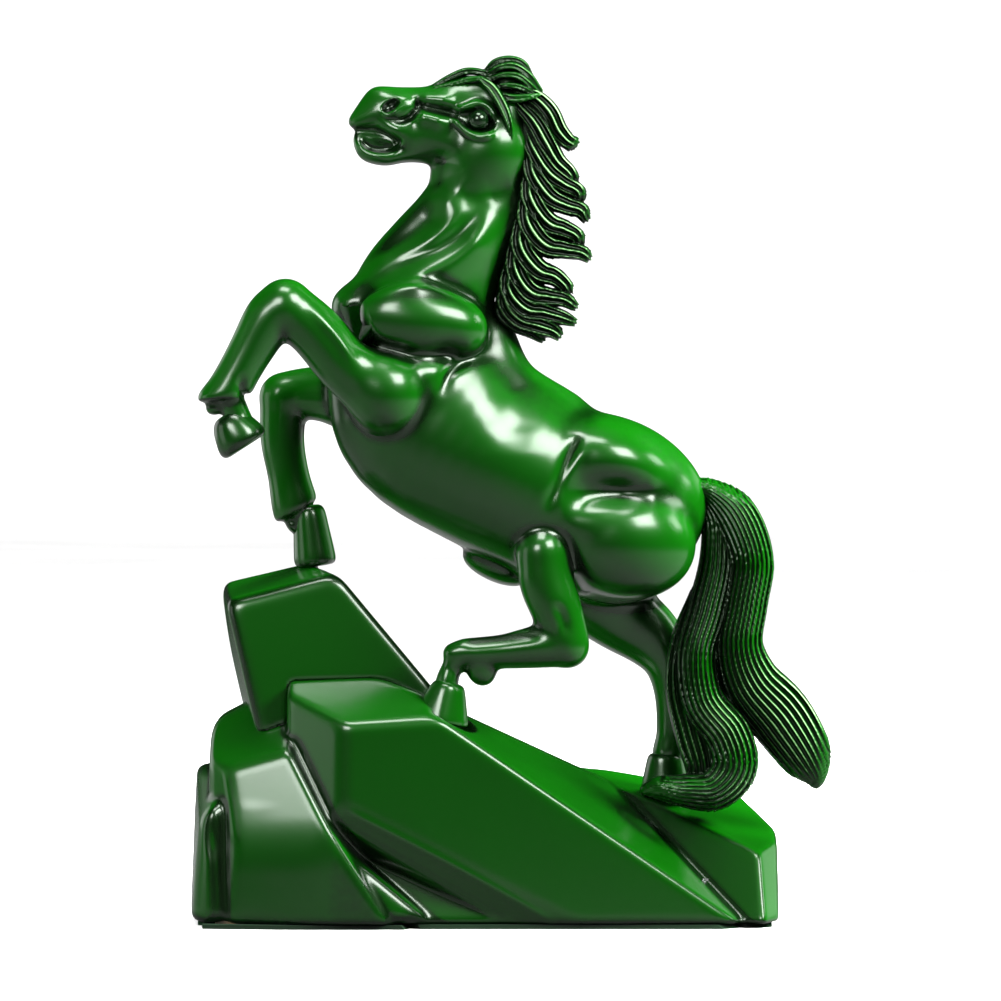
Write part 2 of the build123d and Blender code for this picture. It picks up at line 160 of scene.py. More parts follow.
class Clay:
    """A block of clay between two corners, sampled at one cell size.

    Each form is worked out to a margin outside its surface, wider than any softening.
    """

    def __init__(self, low, high, cell, margin=SURFACE_MARGIN):
        self.low = np.array(low, dtype=float)
        self.cell, self.margin = cell, margin
        size = np.ceil((np.array(high) - self.low) / cell).astype(int) + 1
        self.depth = np.full(size, FAR_AWAY, dtype=np.float32)

    def block(self, low, high):
        """The part of the grid between two corners, as slices."""
        first = np.floor((np.array(low) - self.low) / self.cell).astype(int)
        last = np.ceil((np.array(high) - self.low) / self.cell).astype(int) + 1
        first, last = (np.clip(i, 0, self.depth.shape) for i in (first, last))
        return tuple(slice(a, max(a, b)) for a, b in zip(first, last))

    def axes(self, block):
        """The x, y and z of a block's cells, ready to broadcast."""
        lines = [
            (self.low[i] + self.cell * np.arange(s.start, s.stop)).astype(np.float32)
            for i, s in enumerate(block)
        ]
        return np.meshgrid(*lines, indexing="ij", sparse=True)

    def join(self, form, blend=0.0):
        """Adds a form, with its crease filled over the blend."""
        block, depth = form.depth(self, blend + self.margin)
        self.depth[block] = soft_min(self.depth[block], depth, blend)

    def carve(self, form, blend=0.0):
        """Takes a form away, with its edge rounded over the blend."""
        block, depth = form.depth(self, blend + self.margin)
        self.depth[block] = soft_max(self.depth[block], -depth, blend)

    def trim(self, low, high, point, normal, edge=0.0):
        """Cuts off what lies beyond a plane, between two corners."""
        block = self.block(low, high)
        beyond = facet(*self.axes(block), point, normal)
        self.depth[block] = soft_max(self.depth[block], beyond.astype(np.float32), edge)

    def soften(self, radius):
        """Blurs the clay, which rounds every crease and edge by about the radius."""
        for _ in range(max(1, round(2 * (radius / self.cell) ** 2))):
            for axis in range(3):
                rolled = np.moveaxis(self.depth, axis, 0)
                middle = 0.5 * rolled[1:-1] + 0.25 * (rolled[:-2] + rolled[2:])
                rolled[1:-1] = middle

    def press(self, side, points, width, depth, inner=3.0, taper=0.3):
        """Presses a crease into one flank along points given in side view, as x and z.

        A negative depth raises a ridge.  The tool works from the inner distance outwards.
        """
        route = smooth_route(points, PRESS_STEPS)
        margin = PRESS_SPREAD * width
        low, high = route.min(0) - margin, route.max(0) + margin
        block = self.block((low[0], self.low[1], low[1]), (high[0], VERY_FAR, high[1]))
        x, y, z = self.axes(block)
        if x.size == 0 or z.size == 0:
            return
        nearest = np.full((x.size, 1, z.size), VERY_FAR, dtype=np.float32)
        along = np.zeros_like(nearest)
        count = len(route) - 1
        for i in range(count):
            start, run = route[i], route[i + 1] - route[i]
            t = ((x - start[0]) * run[0] + (z - start[1]) * run[1]) / (run @ run)
            t = np.clip(t, 0, 1)
            gap = (x - start[0] - t * run[0]) ** 2 + (z - start[1] - t * run[1]) ** 2
            closer = gap < nearest
            nearest = np.where(closer, gap, nearest)
            along = np.where(closer, (i + t) / count, along)
        strength = np.clip(np.minimum(along, 1 - along) / taper, 0, 1) if taper else 1.0
        profile = depth * strength * np.exp(-nearest / (width * width))
        reach = np.clip((side * y - inner) / PRESS_FADE + 0.5, 0, 1)
        self.depth[block] += (profile * reach).astype(np.float32)

    def press_all(self, side, *rows):
        """Presses several creases in turn.  A row is what press asks for after the side."""
        for row in rows:
            self.press(side, *row)

    def sample(self, places):
        """The distance at places given in cells, between the eight nearest cells."""
        places = np.clip(places, 0, np.array(self.depth.shape) - 1.001)
        base = places.astype(int)
        part = (places - base).astype(np.float32)
        total = 0
        for corner in np.ndindex(2, 2, 2):
            weight = np.prod(np.where(corner, part, 1 - part), axis=1)
            i, j, k = (base + corner).T
            total = total + weight * self.depth[i, j, k]
        return total

    def slope(self, places, reach=1.0):
        """The gradient of the distance, in millimetres per cell."""
        columns = []
        for axis in range(3):
            step = np.zeros(3)
            step[axis] = reach
            change = self.sample(places + step) - self.sample(places - step)
            columns.append(change / (2 * reach))
        return np.stack(columns, axis=1)


class Limb:
    """A form swept along a smooth route.  A station is x, y, z, half height, half width."""

    def __init__(self, *stations, steps=LIMB_STEPS):
        self.route = smooth_route(stations, steps)

    def share(self, run, x, y, z):
        """How far along a run each place is, from 0 at its start to 1 at its end."""
        return np.clip((x * run[0] + y * run[1] + z * run[2]) / (run[:3] @ run[:3]), 0, 1)

    def flutes(self, run, x, z, height):
        """What flutes add to the distance.  A plain limb has none."""
        return 0

    def depth(self, clay, reach):
        margin = self.route[:, 3:].max() + reach
        places = self.route[:, :3]
        block = clay.block(places.min(0) - margin, places.max(0) + margin)
        depth = np.full([s.stop - s.start for s in block], FAR_AWAY, dtype=np.float32)
        for start, end in zip(self.route[:-1], self.route[1:]):
            margin = max(start[3:].max(), end[3:].max()) + reach
            low = np.minimum(start[:3], end[:3]) - margin
            high = np.maximum(start[:3], end[:3]) + margin
            part = clay.block(low, high)
            if any(s.start >= s.stop for s in part):
                continue
            run = end - start
            x, y, z = (line - middle for line, middle in zip(clay.axes(part), start))
            t = self.share(run, x, y, z)
            height, width = start[3] + t * run[3], start[4] + t * run[4]
            x, y, z = x - t * run[0], y - t * run[1], z - t * run[2]
            up = (x * x + z * z) / (height * height)
            across = y * y / (width * width)
            square = up + across
            lean = np.sqrt(up / (height * height) + across / (width * width)) + TINY_LEAN
            found = (square - np.sqrt(square)) / lean + self.flutes(run, x, z, height)
            inside = tuple(slice(p.start - b.start, p.stop - b.start) for p, b in zip(part, block))
            depth[inside] = np.minimum(depth[inside], found)
        return block, depth


class Lock(Limb):
    """A lock of hair: a limb whose sides are fluted along its length.

    The flutes are wide and hollow, with a narrow strand left standing between them.
    """

    def __init__(self, stations, strands, flute):
        super().__init__(*stations, steps=LOCK_STEPS)
        self.strands, self.flute = strands, flute

    def share(self, run, x, y, z):
        """How far along a run each place is in side view."""
        return np.clip((x * run[0] + z * run[2]) / (run[0] ** 2 + run[2] ** 2), 0, 1)

    def flutes(self, run, x, z, height):
        """How far the flutes are sunk, from nothing at a strand to the full flute."""
        offset = (z * run[0] - x * run[2]) / (math.hypot(run[0], run[2]) * height)
        strand = np.clip(offset, -1, 1) * (self.strands / 2) + 0.5 * (self.strands % 2)
        gap = np.abs(strand - np.round(strand))
        flute = np.minimum(self.flute, FLUTE_LIMIT * height / self.strands)
        return flute * (1 - (1 - 2 * gap) ** 2)


class Swell:
    """An egg-shaped muscle: its centre, half length, half depth, half height and tilt."""

    def __init__(self, centre, half, tilt=0.0):
        self.centre, self.half, self.tilt = np.array(centre, dtype=float), half, math.radians(tilt)

    def depth(self, clay, reach):
        margin = max(self.half) + reach
        block = clay.block(self.centre - margin, self.centre + margin)
        x, y, z = (line - middle for line, middle in zip(clay.axes(block), self.centre))
        length = x * math.cos(self.tilt) + z * math.sin(self.tilt)
        height = z * math.cos(self.tilt) - x * math.sin(self.tilt)
        a, b, c = (half * half for half in self.half)
        square = length**2 / a + y**2 / b + height**2 / c
        lean = np.sqrt(length**2 / (a * a) + y**2 / (b * b) + height**2 / (c * c)) + TINY_LEAN
        return block, (square - np.sqrt(square)) / lean


class Hewn:
    """A block bounded by facets, each a point and its outward normal, with softened edges."""

    def __init__(self, low, high, edge, facets, inset=0.0):
        self.low, self.high, self.edge, self.inset = low, high, edge, inset
        self.facets = list(facets)
        for axis in range(3):
            for sign, corner in ((-1, low), (1, high)):
                normal = [0.0, 0.0, 0.0]
                normal[axis] = sign
                self.facets.append((corner, normal))

    def depth(self, clay, reach):
        block = clay.block(np.array(self.low) - reach, np.array(self.high) + reach)
        x, y, z = clay.axes(block)
        depth = np.full([s.stop - s.start for s in block], -VERY_FAR, dtype=np.float32)
        for point, normal in self.facets:
            flat = facet(x, y, z, point, normal)
            depth = soft_max(depth, flat + self.inset, self.edge)
        return block, depth


class Lump:
    """Clay that is already modelled, used as a form in another block of the same grid."""

    def __init__(self, clay, grow=0.0):
        self.clay, self.grow = clay, grow

    def depth(self, clay, reach):
        return clay.block(clay.low, clay.low + VERY_FAR), self.clay.depth - self.grow


# ------------------------------------------------------------------ casting
class Skin:
    """A closed mesh: triangles with smooth normals, and flat caps where it has been sawn."""

    def __init__(self, points, normals, relief, triangles, caps=()):
        self.points, self.normals, self.relief = points, normals, relief
        self.triangles, self.caps = triangles, list(caps)


def cast(clay):
    """The clay's surface as a mesh, each vertex moved onto the surface along the slope."""
    grid = openvdb.FloatGrid(FAR_AWAY)
    grid.copyFromArray(clay.depth)
    points, triangles, quads = grid.convertToPolygons(isovalue=0.0)
    places = points.astype(float)
    for _ in range(CAST_PASSES):
        slope = clay.slope(places)
        steepness = (slope * slope).sum(1) + TINY_SLOPE
        move = -slope * (clay.sample(places) / steepness)[:, None]
        length = np.linalg.norm(move, axis=1, keepdims=True)
        places += move * np.minimum(1, LONGEST_MOVE / np.maximum(length, TINY_SLOPE))
    slope = clay.slope(places)
    normals = slope / (np.linalg.norm(slope, axis=1, keepdims=True) + TINY_SLOPE)
    reach = RELIEF_REACH / clay.cell
    around = 0
    for axis in range(3):
        for sign in (-1, 1):
            step = np.zeros(3)
            step[axis] = sign * reach
            around = around + clay.sample(places + step)
    relief = (around / 6 - clay.sample(places)) / RELIEF_REACH
    # Painted shade: each hollow lowers the relief, and the lacquer turns low relief into a darker colour.
    for gap in HOLLOW_GAPS:
        open_space = clay.sample(places + normals * (gap / clay.cell)) / gap
        relief = relief - HOLLOW_SHADE * np.clip(1 - open_space, 0, 1)
    faces = [triangles, quads[:, [0, 1, 2]], quads[:, [0, 2, 3]]]
    triangles = np.vstack(faces).astype(int)
    corners = places[triangles]
    facing = np.cross(corners[:, 1] - corners[:, 0], corners[:, 2] - corners[:, 0])
    if (facing * normals[triangles[:, 0]]).sum() < 0:
        triangles = triangles[:, ::-1]
    return Skin(clay.low + places * clay.cell, normals, relief, triangles)


def loops_of(edges):
    """Groups directed edges into closed loops."""
    after = dict(edges)
    loops = []
    while after:
        start, here = after.popitem()
        loop = [start]
        while here in after:
            loop.append(here)
            here = after.pop(here)
        loops.append(np.array(loop))
    return loops


def saw(skin, side):
    """Saws a skin where side, a number at each vertex, changes sign.

    Returns the piece where side is negative and the piece where it is positive.  Both have
    the sawn edge, keep the skin's normals along it and are closed by flat caps.
    """
    sign = side[skin.triangles] > 0
    count = sign.sum(1)
    crossed = (count == 1) | (count == 2)
    mixed, sign = skin.triangles[crossed], sign[crossed]
    # Each sawn triangle is turned so that its lone corner comes first.
    lone_side = sign.sum(1) == 1
    lone = np.argmax(sign == lone_side[:, None], axis=1)
    mixed = np.take_along_axis(mixed, (lone[:, None] + np.arange(3)) % 3, axis=1)
    pairs = np.sort(np.vstack([mixed[:, [0, 1]], mixed[:, [0, 2]]]), axis=1)
    ends, number = np.unique(pairs, axis=0, return_inverse=True)
    number = len(skin.points) + number.reshape(2, -1)
    a, b = ends.T
    t = side[a] / (side[a] - side[b])

    def along(values):
        share = t[:, None] if values.ndim == 2 else t
        return np.concatenate([values, values[a] + share * (values[b] - values[a])])

    points, normals, relief = along(skin.points), along(skin.normals), along(skin.relief)
    normals /= np.linalg.norm(normals, axis=1, keepdims=True)
    left, right = number
    tips = np.stack([mixed[:, 0], left, right], axis=1)
    stumps = np.stack([left, mixed[:, 1], mixed[:, 2], left, mixed[:, 2], right], axis=1)
    pieces = []
    for positive in (False, True):
        tip, stump = lone_side == positive, lone_side != positive
        rows = [
            skin.triangles[count == (3 if positive else 0)],
            tips[tip],
            stumps[stump].reshape(-1, 3),
        ]
        edges = list(zip(right[tip], left[tip])) + list(zip(left[stump], right[stump]))
        caps = [cap for cap in skin.caps if (side[cap[0][0, 0]] > 0) == positive]
        hubs = []
        for loop in loops_of(edges):
            if len(loop) < 3:
                continue
            hub = points[loop].mean(0)
            spokes = points[loop] - hub
            facing = np.cross(spokes, np.roll(spokes, -1, axis=0)).sum(0)
            middle = np.full(len(loop), len(points) + len(hubs))
            fan = np.stack([middle, loop, np.roll(loop, -1)], axis=1)
            caps.append((fan, facing / np.linalg.norm(facing)))
            hubs.append(hub)
        hubs = np.array(hubs).reshape(-1, 3)
        piece = Skin(
            np.vstack([points, hubs]),
            np.vstack([normals, np.zeros_like(hubs)]),
            np.concatenate([relief, np.zeros(len(hubs))]),
            np.vstack(rows),
            caps,
        )
        pieces.append(piece)
    return pieces


def make_piece(name, skin, material, replaced=()):
    """Adds a skin to the scene as a piece of the figurine."""
    faces = np.vstack([skin.triangles] + [fan for fan, _ in skin.caps])
    flat = [np.tile(normal, (3 * len(fan), 1)) for fan, normal in skin.caps]
    normals = np.vstack([skin.normals[skin.triangles].reshape(-1, 3)] + flat)
    used, corners = np.unique(faces, return_inverse=True)
    points = (skin.points[used] * MM).astype(np.float32)
    mesh = bpy.data.meshes.new(name)
    mesh.vertices.add(len(points))
    mesh.vertices.foreach_set("co", points.ravel())
    mesh.loops.add(faces.size)
    mesh.loops.foreach_set("vertex_index", corners.ravel().astype(np.int32))
    mesh.polygons.add(len(faces))
    mesh.polygons.foreach_set("loop_start", np.arange(0, faces.size, 3, dtype=np.int32))
    relief = mesh.attributes.new("relief", "FLOAT", "POINT")
    relief.data.foreach_set("value", skin.relief[used].astype(np.float32))
    mesh.update()
    mesh.validate()
    mesh.normals_split_custom_set(normals.tolist())
    piece = new_object(name, mesh)
    mesh.materials.append(material)
    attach(piece, "root")
    if replaced:
        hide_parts(*replaced)


# ------------------------------------------------------------------ the horse
# Cell sizes of the clay, in millimetres.
SKIN_CELL = 0.65
FINE_CELL = 0.4
# How far the horse's forms, and then the features of its face, are softened.
SKIN_SOFTNESS = 0.9
FACE_SOFTNESS = 0.4


def model_trunk(clay):
    """The barrel, croup and neck, without their muscles."""
    clay.join(Limb(
        (-47, 0, 186, 12, 11), (-41, 0, 181, 21, 17), (-28, 0, 170.5, 31.2, 22.5),
        (-8, 0, 158, 31.2, 25), (12.5, 0, 147, 29.6, 24.5), (26, 0, 140, 29, 23), (36, 0, 135, 27, 20),
    ))
    clay.join(Swell((39.5, 0, 149.5), (30, 17, 20), tilt=-32), 6)
    clay.join(Limb(
        (-34, 0, 197, 26, 17), (-30, 0, 212, 24, 15), (-24, 0, 224, 21, 13.2),
        (-17.5, 0, 234.5, 18.6, 12), (-12.5, 0, 244.5, 17, 11), (-11, 0, 254, 16.5, 10.5),
    ), 10)
    # The bridge of the withers and the crest.
    clay.join(Limb((-5, 0, 198, 7, 7), (1.5, 0, 183.5, 7, 8), (16.5, 0, 172.5, 8, 9)), 8)
    clay.join(Swell((-54.5, 0, 210.5), (7, 11, 6), tilt=35), 5)


def model_flank(clay, side):
    """The muscles of one flank, and the creases between them."""
    clay.join(Swell((-30.5, side * 17, 204.5), (22, 9.5, 11.2), tilt=-5), 3)
    clay.join(Swell((-18, side * 13.5, 201.5), (9.5, 10, 9.5)), 3)
    clay.join(Swell((-31, side * 15, 188.5), (9, 8, 11)), 7)
    clay.join(Swell((34.5, side * 9, 156.5), (21, 15, 13), tilt=-18), 5)
    clay.join(Swell((39, side * 11, 129.5), (23.8, 16, 19.5), tilt=-8), 4)
    clay.join(Swell((27, side * 13, 136.5), (14, 11, 9), tilt=10), 4)
    # The hollow over the thigh, the crease of the flank and the girth.
    clay.press_all(
        side,
        ([(16.5, 145), (31, 147), (48, 147.5)], 5.2, 3.2, 8),
        ([(24, 166.5), (19.5, 159), (15.5, 149.5), (11.5, 140)], 1.3, 1.5, 6, 0.2),
        ([(26, 164), (22, 157), (17.5, 148)], 1.5, -0.6, 6),
        ([(16.5, 135), (20.5, 123), (23.5, 109.5)], 2.6, 2.2, 8),
        # The folds of the neck: valleys, and the ridges between them.
        ([(-23.5, 246), (-28.5, 238), (-39, 228), (-54.5, 218)], 5.0, 2.4),
        ([(-9.5, 245.5), (-17.5, 234), (-32.5, 226), (-50.5, 217.5)], 3.4, 2.8),
        ([(-17.5, 239.5), (-27.5, 231.5), (-42, 224.5), (-56.5, 215)], 3.0, -1.9),
        ([(-6.5, 241.5), (-11, 233), (-20, 225), (-36, 218), (-54, 210.5)], 6.2, -2.7),
        # The creases round the shoulder.
        ([(-53, 210), (-50.5, 202), (-47, 192)], 2.0, 1.4, 8, 0.2),
        ([(-48.5, 194.5), (-37.5, 193), (-24, 193), (-14, 197)], 3.4, 2.4, 8),
        ([(-49.5, 212), (-37.5, 216.5), (-20.5, 214.5), (-8, 207.5)], 1.5, -0.6, 6),
        ([(-3.5, 189), (0.5, 175), (0.5, 160)], 7.5, 1.5, 8),
        ([(-24, 179), (-21.5, 186), (-16.5, 190.5), (-8, 194.5)], 1.6, 1.6, 8),
    )


def model_near_foreleg(clay):
    """The near foreleg: elbow, forearm, knee and shin."""
    clay.join(Swell((-42, -19, 180), (12.5, 10.5, 13), tilt=-25), 3)
    clay.join(Limb(
        (-42.5, -19, 180, 12.5, 9.5), (-56, -20.5, 189.5, 9.8, 8.5), (-66, -21.5, 201, 9.4, 8),
        (-76, -22, 209.5, 9.2, 8),
    ), 3)
    clay.join(Limb(
        (-76.5, -22, 209.5, 9.2, 8), (-81.5, -22, 205.5, 8.8, 7.8), (-87.5, -22, 195.5, 7.7, 7),
        (-92, -22, 187.5, 7.3, 6.8), (-95.5, -22, 181, 7.6, 7), (-98.5, -22, 176.5, 8, 7.2),
    ), 1.5)
    clay.trim((-112, -34, 160), (-84, -10, 186), (-98.5, -22, 178), (0.12, 0, -1), 1.0)
    clay.join(Limb(
        (-96, -22, 181, 5.5, 5.4), (-93.5, -22, 175, 4.6, 4.8), (-91.5, -22, 169, 5.2, 5.2),
    ), 0.6)
    clay.join(Swell((-100.5, -22, 175), (3, 3.6, 2.6), tilt=-20), 0.5)
    clay.press_all(
        NEAR,
        ([(-90, 186.5), (-91, 182), (-88.5, 177.5)], 0.9, 2.4, 10),
        ([(-102.5, 173), (-96, 171.5), (-89.5, 174)], 0.7, 1.0, 10),
        ([(-68.5, 210.5), (-58, 199), (-52, 189)], 1.5, -1.4, 14),
    )


def model_far_foreleg(clay):
    """The far foreleg, its forearm level and its shin hanging to the crag."""
    clay.join(Limb(
        (-54.5, 13, 179, 12.5, 9), (-63, 15.5, 179.5, 10, 8.5), (-72.5, 17, 179.5, 8.6, 7.5),
        (-78, 17, 178.5, 8.2, 7),
    ), 3)
    clay.join(Limb(
        (-78, 17, 178, 8.2, 7), (-78.5, 17, 164, 7.6, 6.5), (-76.5, 17, 152, 7.2, 6.3),
        (-74.5, 17, 142.5, 8, 6.8), (-73, 17, 136.5, 8.2, 7),
    ), 1.5)
    clay.trim((-90, 6, 122), (-58, 28, 146), (-72.5, 17, 139.5), (0.5, 0, -0.86), 1.0)
    clay.join(Limb((-74.5, 17, 143.5, 5.4, 5.4), (-71.5, 17, 136.5, 4.6, 4.8), (-69, 17, 130, 5, 5)), 0.6)
    for x, z in ((-75.5, 134), (-73, 136.5), (-70.5, 138.5)):
        clay.join(Swell((x, 17, z), (1.6, 5.4, 3), tilt=35), 0.3)


def model_near_hind_leg(clay):
    """The near hind leg: stifle, gaskin, hock and the shin carried forward."""
    clay.join(Swell((11, -17, 125.5), (9, 8.5, 9)), 2)
    clay.join(Limb(
        (11, -18, 126, 8.8, 8.4), (12, -19, 117, 9.4, 8), (15, -20, 108, 8.8, 7.4),
        (18.5, -20, 98.5, 7.4, 6.6), (19.5, -20, 94, 6.5, 6.3),
    ), 2)
    clay.join(Limb(
        (18.5, -20, 95, 7.5, 6.3), (10, -20, 94.5, 7.4, 6), (-2, -19, 93, 6.2, 5.4),
        (-13.5, -18.5, 92.5, 5.3, 4.8), (-19.5, -18, 92, 3.8, 4.2),
    ), 2)
    clay.join(Swell((-10, -18.5, 86.5), (5.2, 4, 5.8), tilt=20), 1.5)
    clay.join(Limb((-16.5, -18, 91, 4, 4.2), (-20.5, -18, 86.5, 3.6, 4), (-22, -18, 81, 4.2, 4.6)), 0.8)
    clay.press_all(
        NEAR,
        ([(-24, 87.5), (-20, 86.5), (-16, 87.5)], 0.6, 1.0, 10),
        ([(15, 110), (17.5, 104.5), (18.5, 98.5)], 1.2, 1.4, 16),
        ([(-16.5, 95.5), (-3.5, 97), (11.5, 98.5)], 1.0, 1.5, 16, 0.15),
    )


def model_far_hind_leg(clay):
    """The far hind leg, which stands on the rock behind the tail."""
    clay.join(Limb(
        (28.5, 13, 112, 15, 10), (37.5, 15, 104, 13, 9.5), (47.5, 16, 96.5, 11, 8.5),
        (53.5, 16, 88.5, 8.6, 7.4), (55.5, 16, 77, 6.4, 6), (55.5, 16, 63.5, 5.6, 5.4),
        (54.5, 16, 56.5, 6, 5.8),
    ), 3)
    clay.join(Swell((-5.5, 4, 120.5), (12, 8, 5), tilt=-24), 3)


def model_horse(clay):
    """Everything of the horse that shares one skin."""
    model_trunk(clay)
    for side in (NEAR, FAR):
        model_flank(clay, side)
    model_near_foreleg(clay)
    model_far_foreleg(clay)
    model_near_hind_leg(clay)
    model_far_hind_leg(clay)
    model_head(clay)
    clay.soften(SKIN_SOFTNESS)
    carve_face(clay)


def model_head(clay):
    """The masses of the head: skull, nose, lower jaw, cheeks and the wings of the nostrils."""
    clay.join(Limb(
        (-5.5, 0, 275.5, 12, 8), (-16.5, 0, 277, 11, 9), (-27.5, 0, 277, 7.6, 7.2),
        (-37.5, 0, 277, 7.2, 6.6), (-46, 0, 277, 7.4, 6.4), (-51.5, 0, 275.5, 6.0, 5.4),
    ), 3)
    clay.trim((-66, -20, 262), (-44, 20, 294), (-52.5, 0, 278), (-0.82, 0, 0.57), 2.2)
    for side in (NEAR, FAR):
        clay.trim((-66, -20, 268), (-42, 20, 294), (-46.5, side * 5.8, 278), (-0.5, side * 0.82, 0.28), 2.0)
    clay.join(Limb(
        (-19, 0, 263.5, 8, 6.5), (-29, 0, 263, 5, 6), (-36.5, 0, 261.5, 3.2, 5.8),
        (-43, 0, 260, 2.7, 5.6), (-49, 0, 261, 2.3, 4.8), (-51.5, 0, 263.5, 1.8, 3.8),
        (-52.5, 0, 266, 1.3, 3),
    ), 1.5)
    clay.join(Swell((-33.5, 0, 265.5), (5.5, 6.6, 5.5)), 1.5)
    clay.join(Limb((-36, 0, 266, 4.6, 3), (-45, 0, 266.5, 4.6, 2.4), (-50.5, 0, 267, 3.6, 1.8)), 0.6)
    for side in (NEAR, FAR):
        clay.join(Swell((-6.5, side * 3, 263), (13.5, 9.6, 13.5)), 3)
        clay.join(Swell((-37.5, side * 4.6, 277), (6, 3.4, 4.8), tilt=10), 1.2)
        clay.join(Limb((-43, side * 3.2, 272.5, 3, 3.6), (-38.5, side * 3.2, 269.5, 4, 4)), 1.5)
        cheek = Limb(
            (-37, side * 3, 269.5, 4.6, 4.4), (-29, side * 3, 268.5, 6.5, 5), (-20.5, side * 3, 267, 8, 6),
        )
        clay.join(cheek, 3)


def carve_face(clay):
    """The finer features of the face."""
    for side in (NEAR, FAR):
        clay.carve(Swell((-41, side * 8, 277.5), (3.5, 4.4, 2.0), tilt=32), 0.4)
        clay.press_all(
            side,
            ([(-44.5, 276.5), (-42.5, 274.5), (-39.5, 275.5), (-37, 278)], 0.7, -0.9),
            ([(-33, 280.5), (-31.5, 277.5), (-33.5, 274.5), (-37.5, 272.5), (-43, 273.5)], 1.2, 1.5),
            # The nasal bone, the groove that runs to the eye and the bone of the cheek below it.
            ([(-33.5, 280), (-26, 280), (-18.5, 279)], 2.6, -1.4),
            ([(-33, 278.5), (-26, 276.5), (-16.5, 274.5)], 1.6, 2.4, 3, 0.12),
            ([(-33.5, 273.5), (-27.5, 273.5), (-20, 270.5)], 3.0, -1.8),
            # The mouth: the crease over the lip, the rim of the lower lip and the corner.
            ([(-54, 269.5), (-46, 268.5), (-40.5, 267), (-37.5, 264.5)], 1.2, 1.8, 2, 0.1),
        )
        clay.carve(Swell((-45, side * 7.4, 265.5), (7.2, 5.6, 2.8), tilt=-6), 0.5)
        clay.press_all(
            side,
            ([(-52, 266.5), (-50.5, 263.5), (-46, 261), (-40, 261.5)], 0.9, -0.7, 2, 0.2),
            ([(-50, 267), (-48.5, 264), (-44.5, 263), (-39, 263)], 1.3, 1.3, 2, 0.2),
        )
        # The eye: a hollow round the ball, the rim of its lower lid and the brow.
        clay.carve(Swell((-12.5, side * 10.6, 273), (7.4, 3.6, 4.1), tilt=-20), 0.5)
        clay.press_all(
            side,
            ([(-20.5, 273.5), (-17.5, 271), (-14, 268), (-9.5, 267), (-5, 268.5)], 1.0, -1.5, 3, 0.15),
            ([(-20, 275.5), (-16, 277), (-11, 278.5), (-7, 276.5), (-5, 272)], 1.1, -1.8, 3, 0.15),
            # The shaded edge of the cheek and the crease under the jowl.
            ([(-22, 264), (-24, 258.5), (-23, 252.5), (-18.5, 248)], 6.0, 1.7),
            ([(-21.5, 247.5), (-10.5, 246.5), (0.5, 249)], 4.6, 1.5),
        )
    clay.soften(FACE_SOFTNESS)


# ------------------------------------------------------------------ rock
ROCK_CELL = 0.9
ROCK_FOOT = 1.5
WALL = 6.0
# The room round the rock in its clay, which also holds the crag, and how soft its joints are.
ROCK_ROOM = 3
CRAG_ROOM = (3, 3, 46)
ROCK_BLEND = 1.0
ROCK_SOFTNESS = 0.6
# How deep the crag is bedded in the rock, and how wide the worn rims are.
CRAG_BEDDING = 0.4
RIM_WIDTH = 0.9
# A crease pressed from this side distance reaches through the whole rock.
RIM_INNER = -30
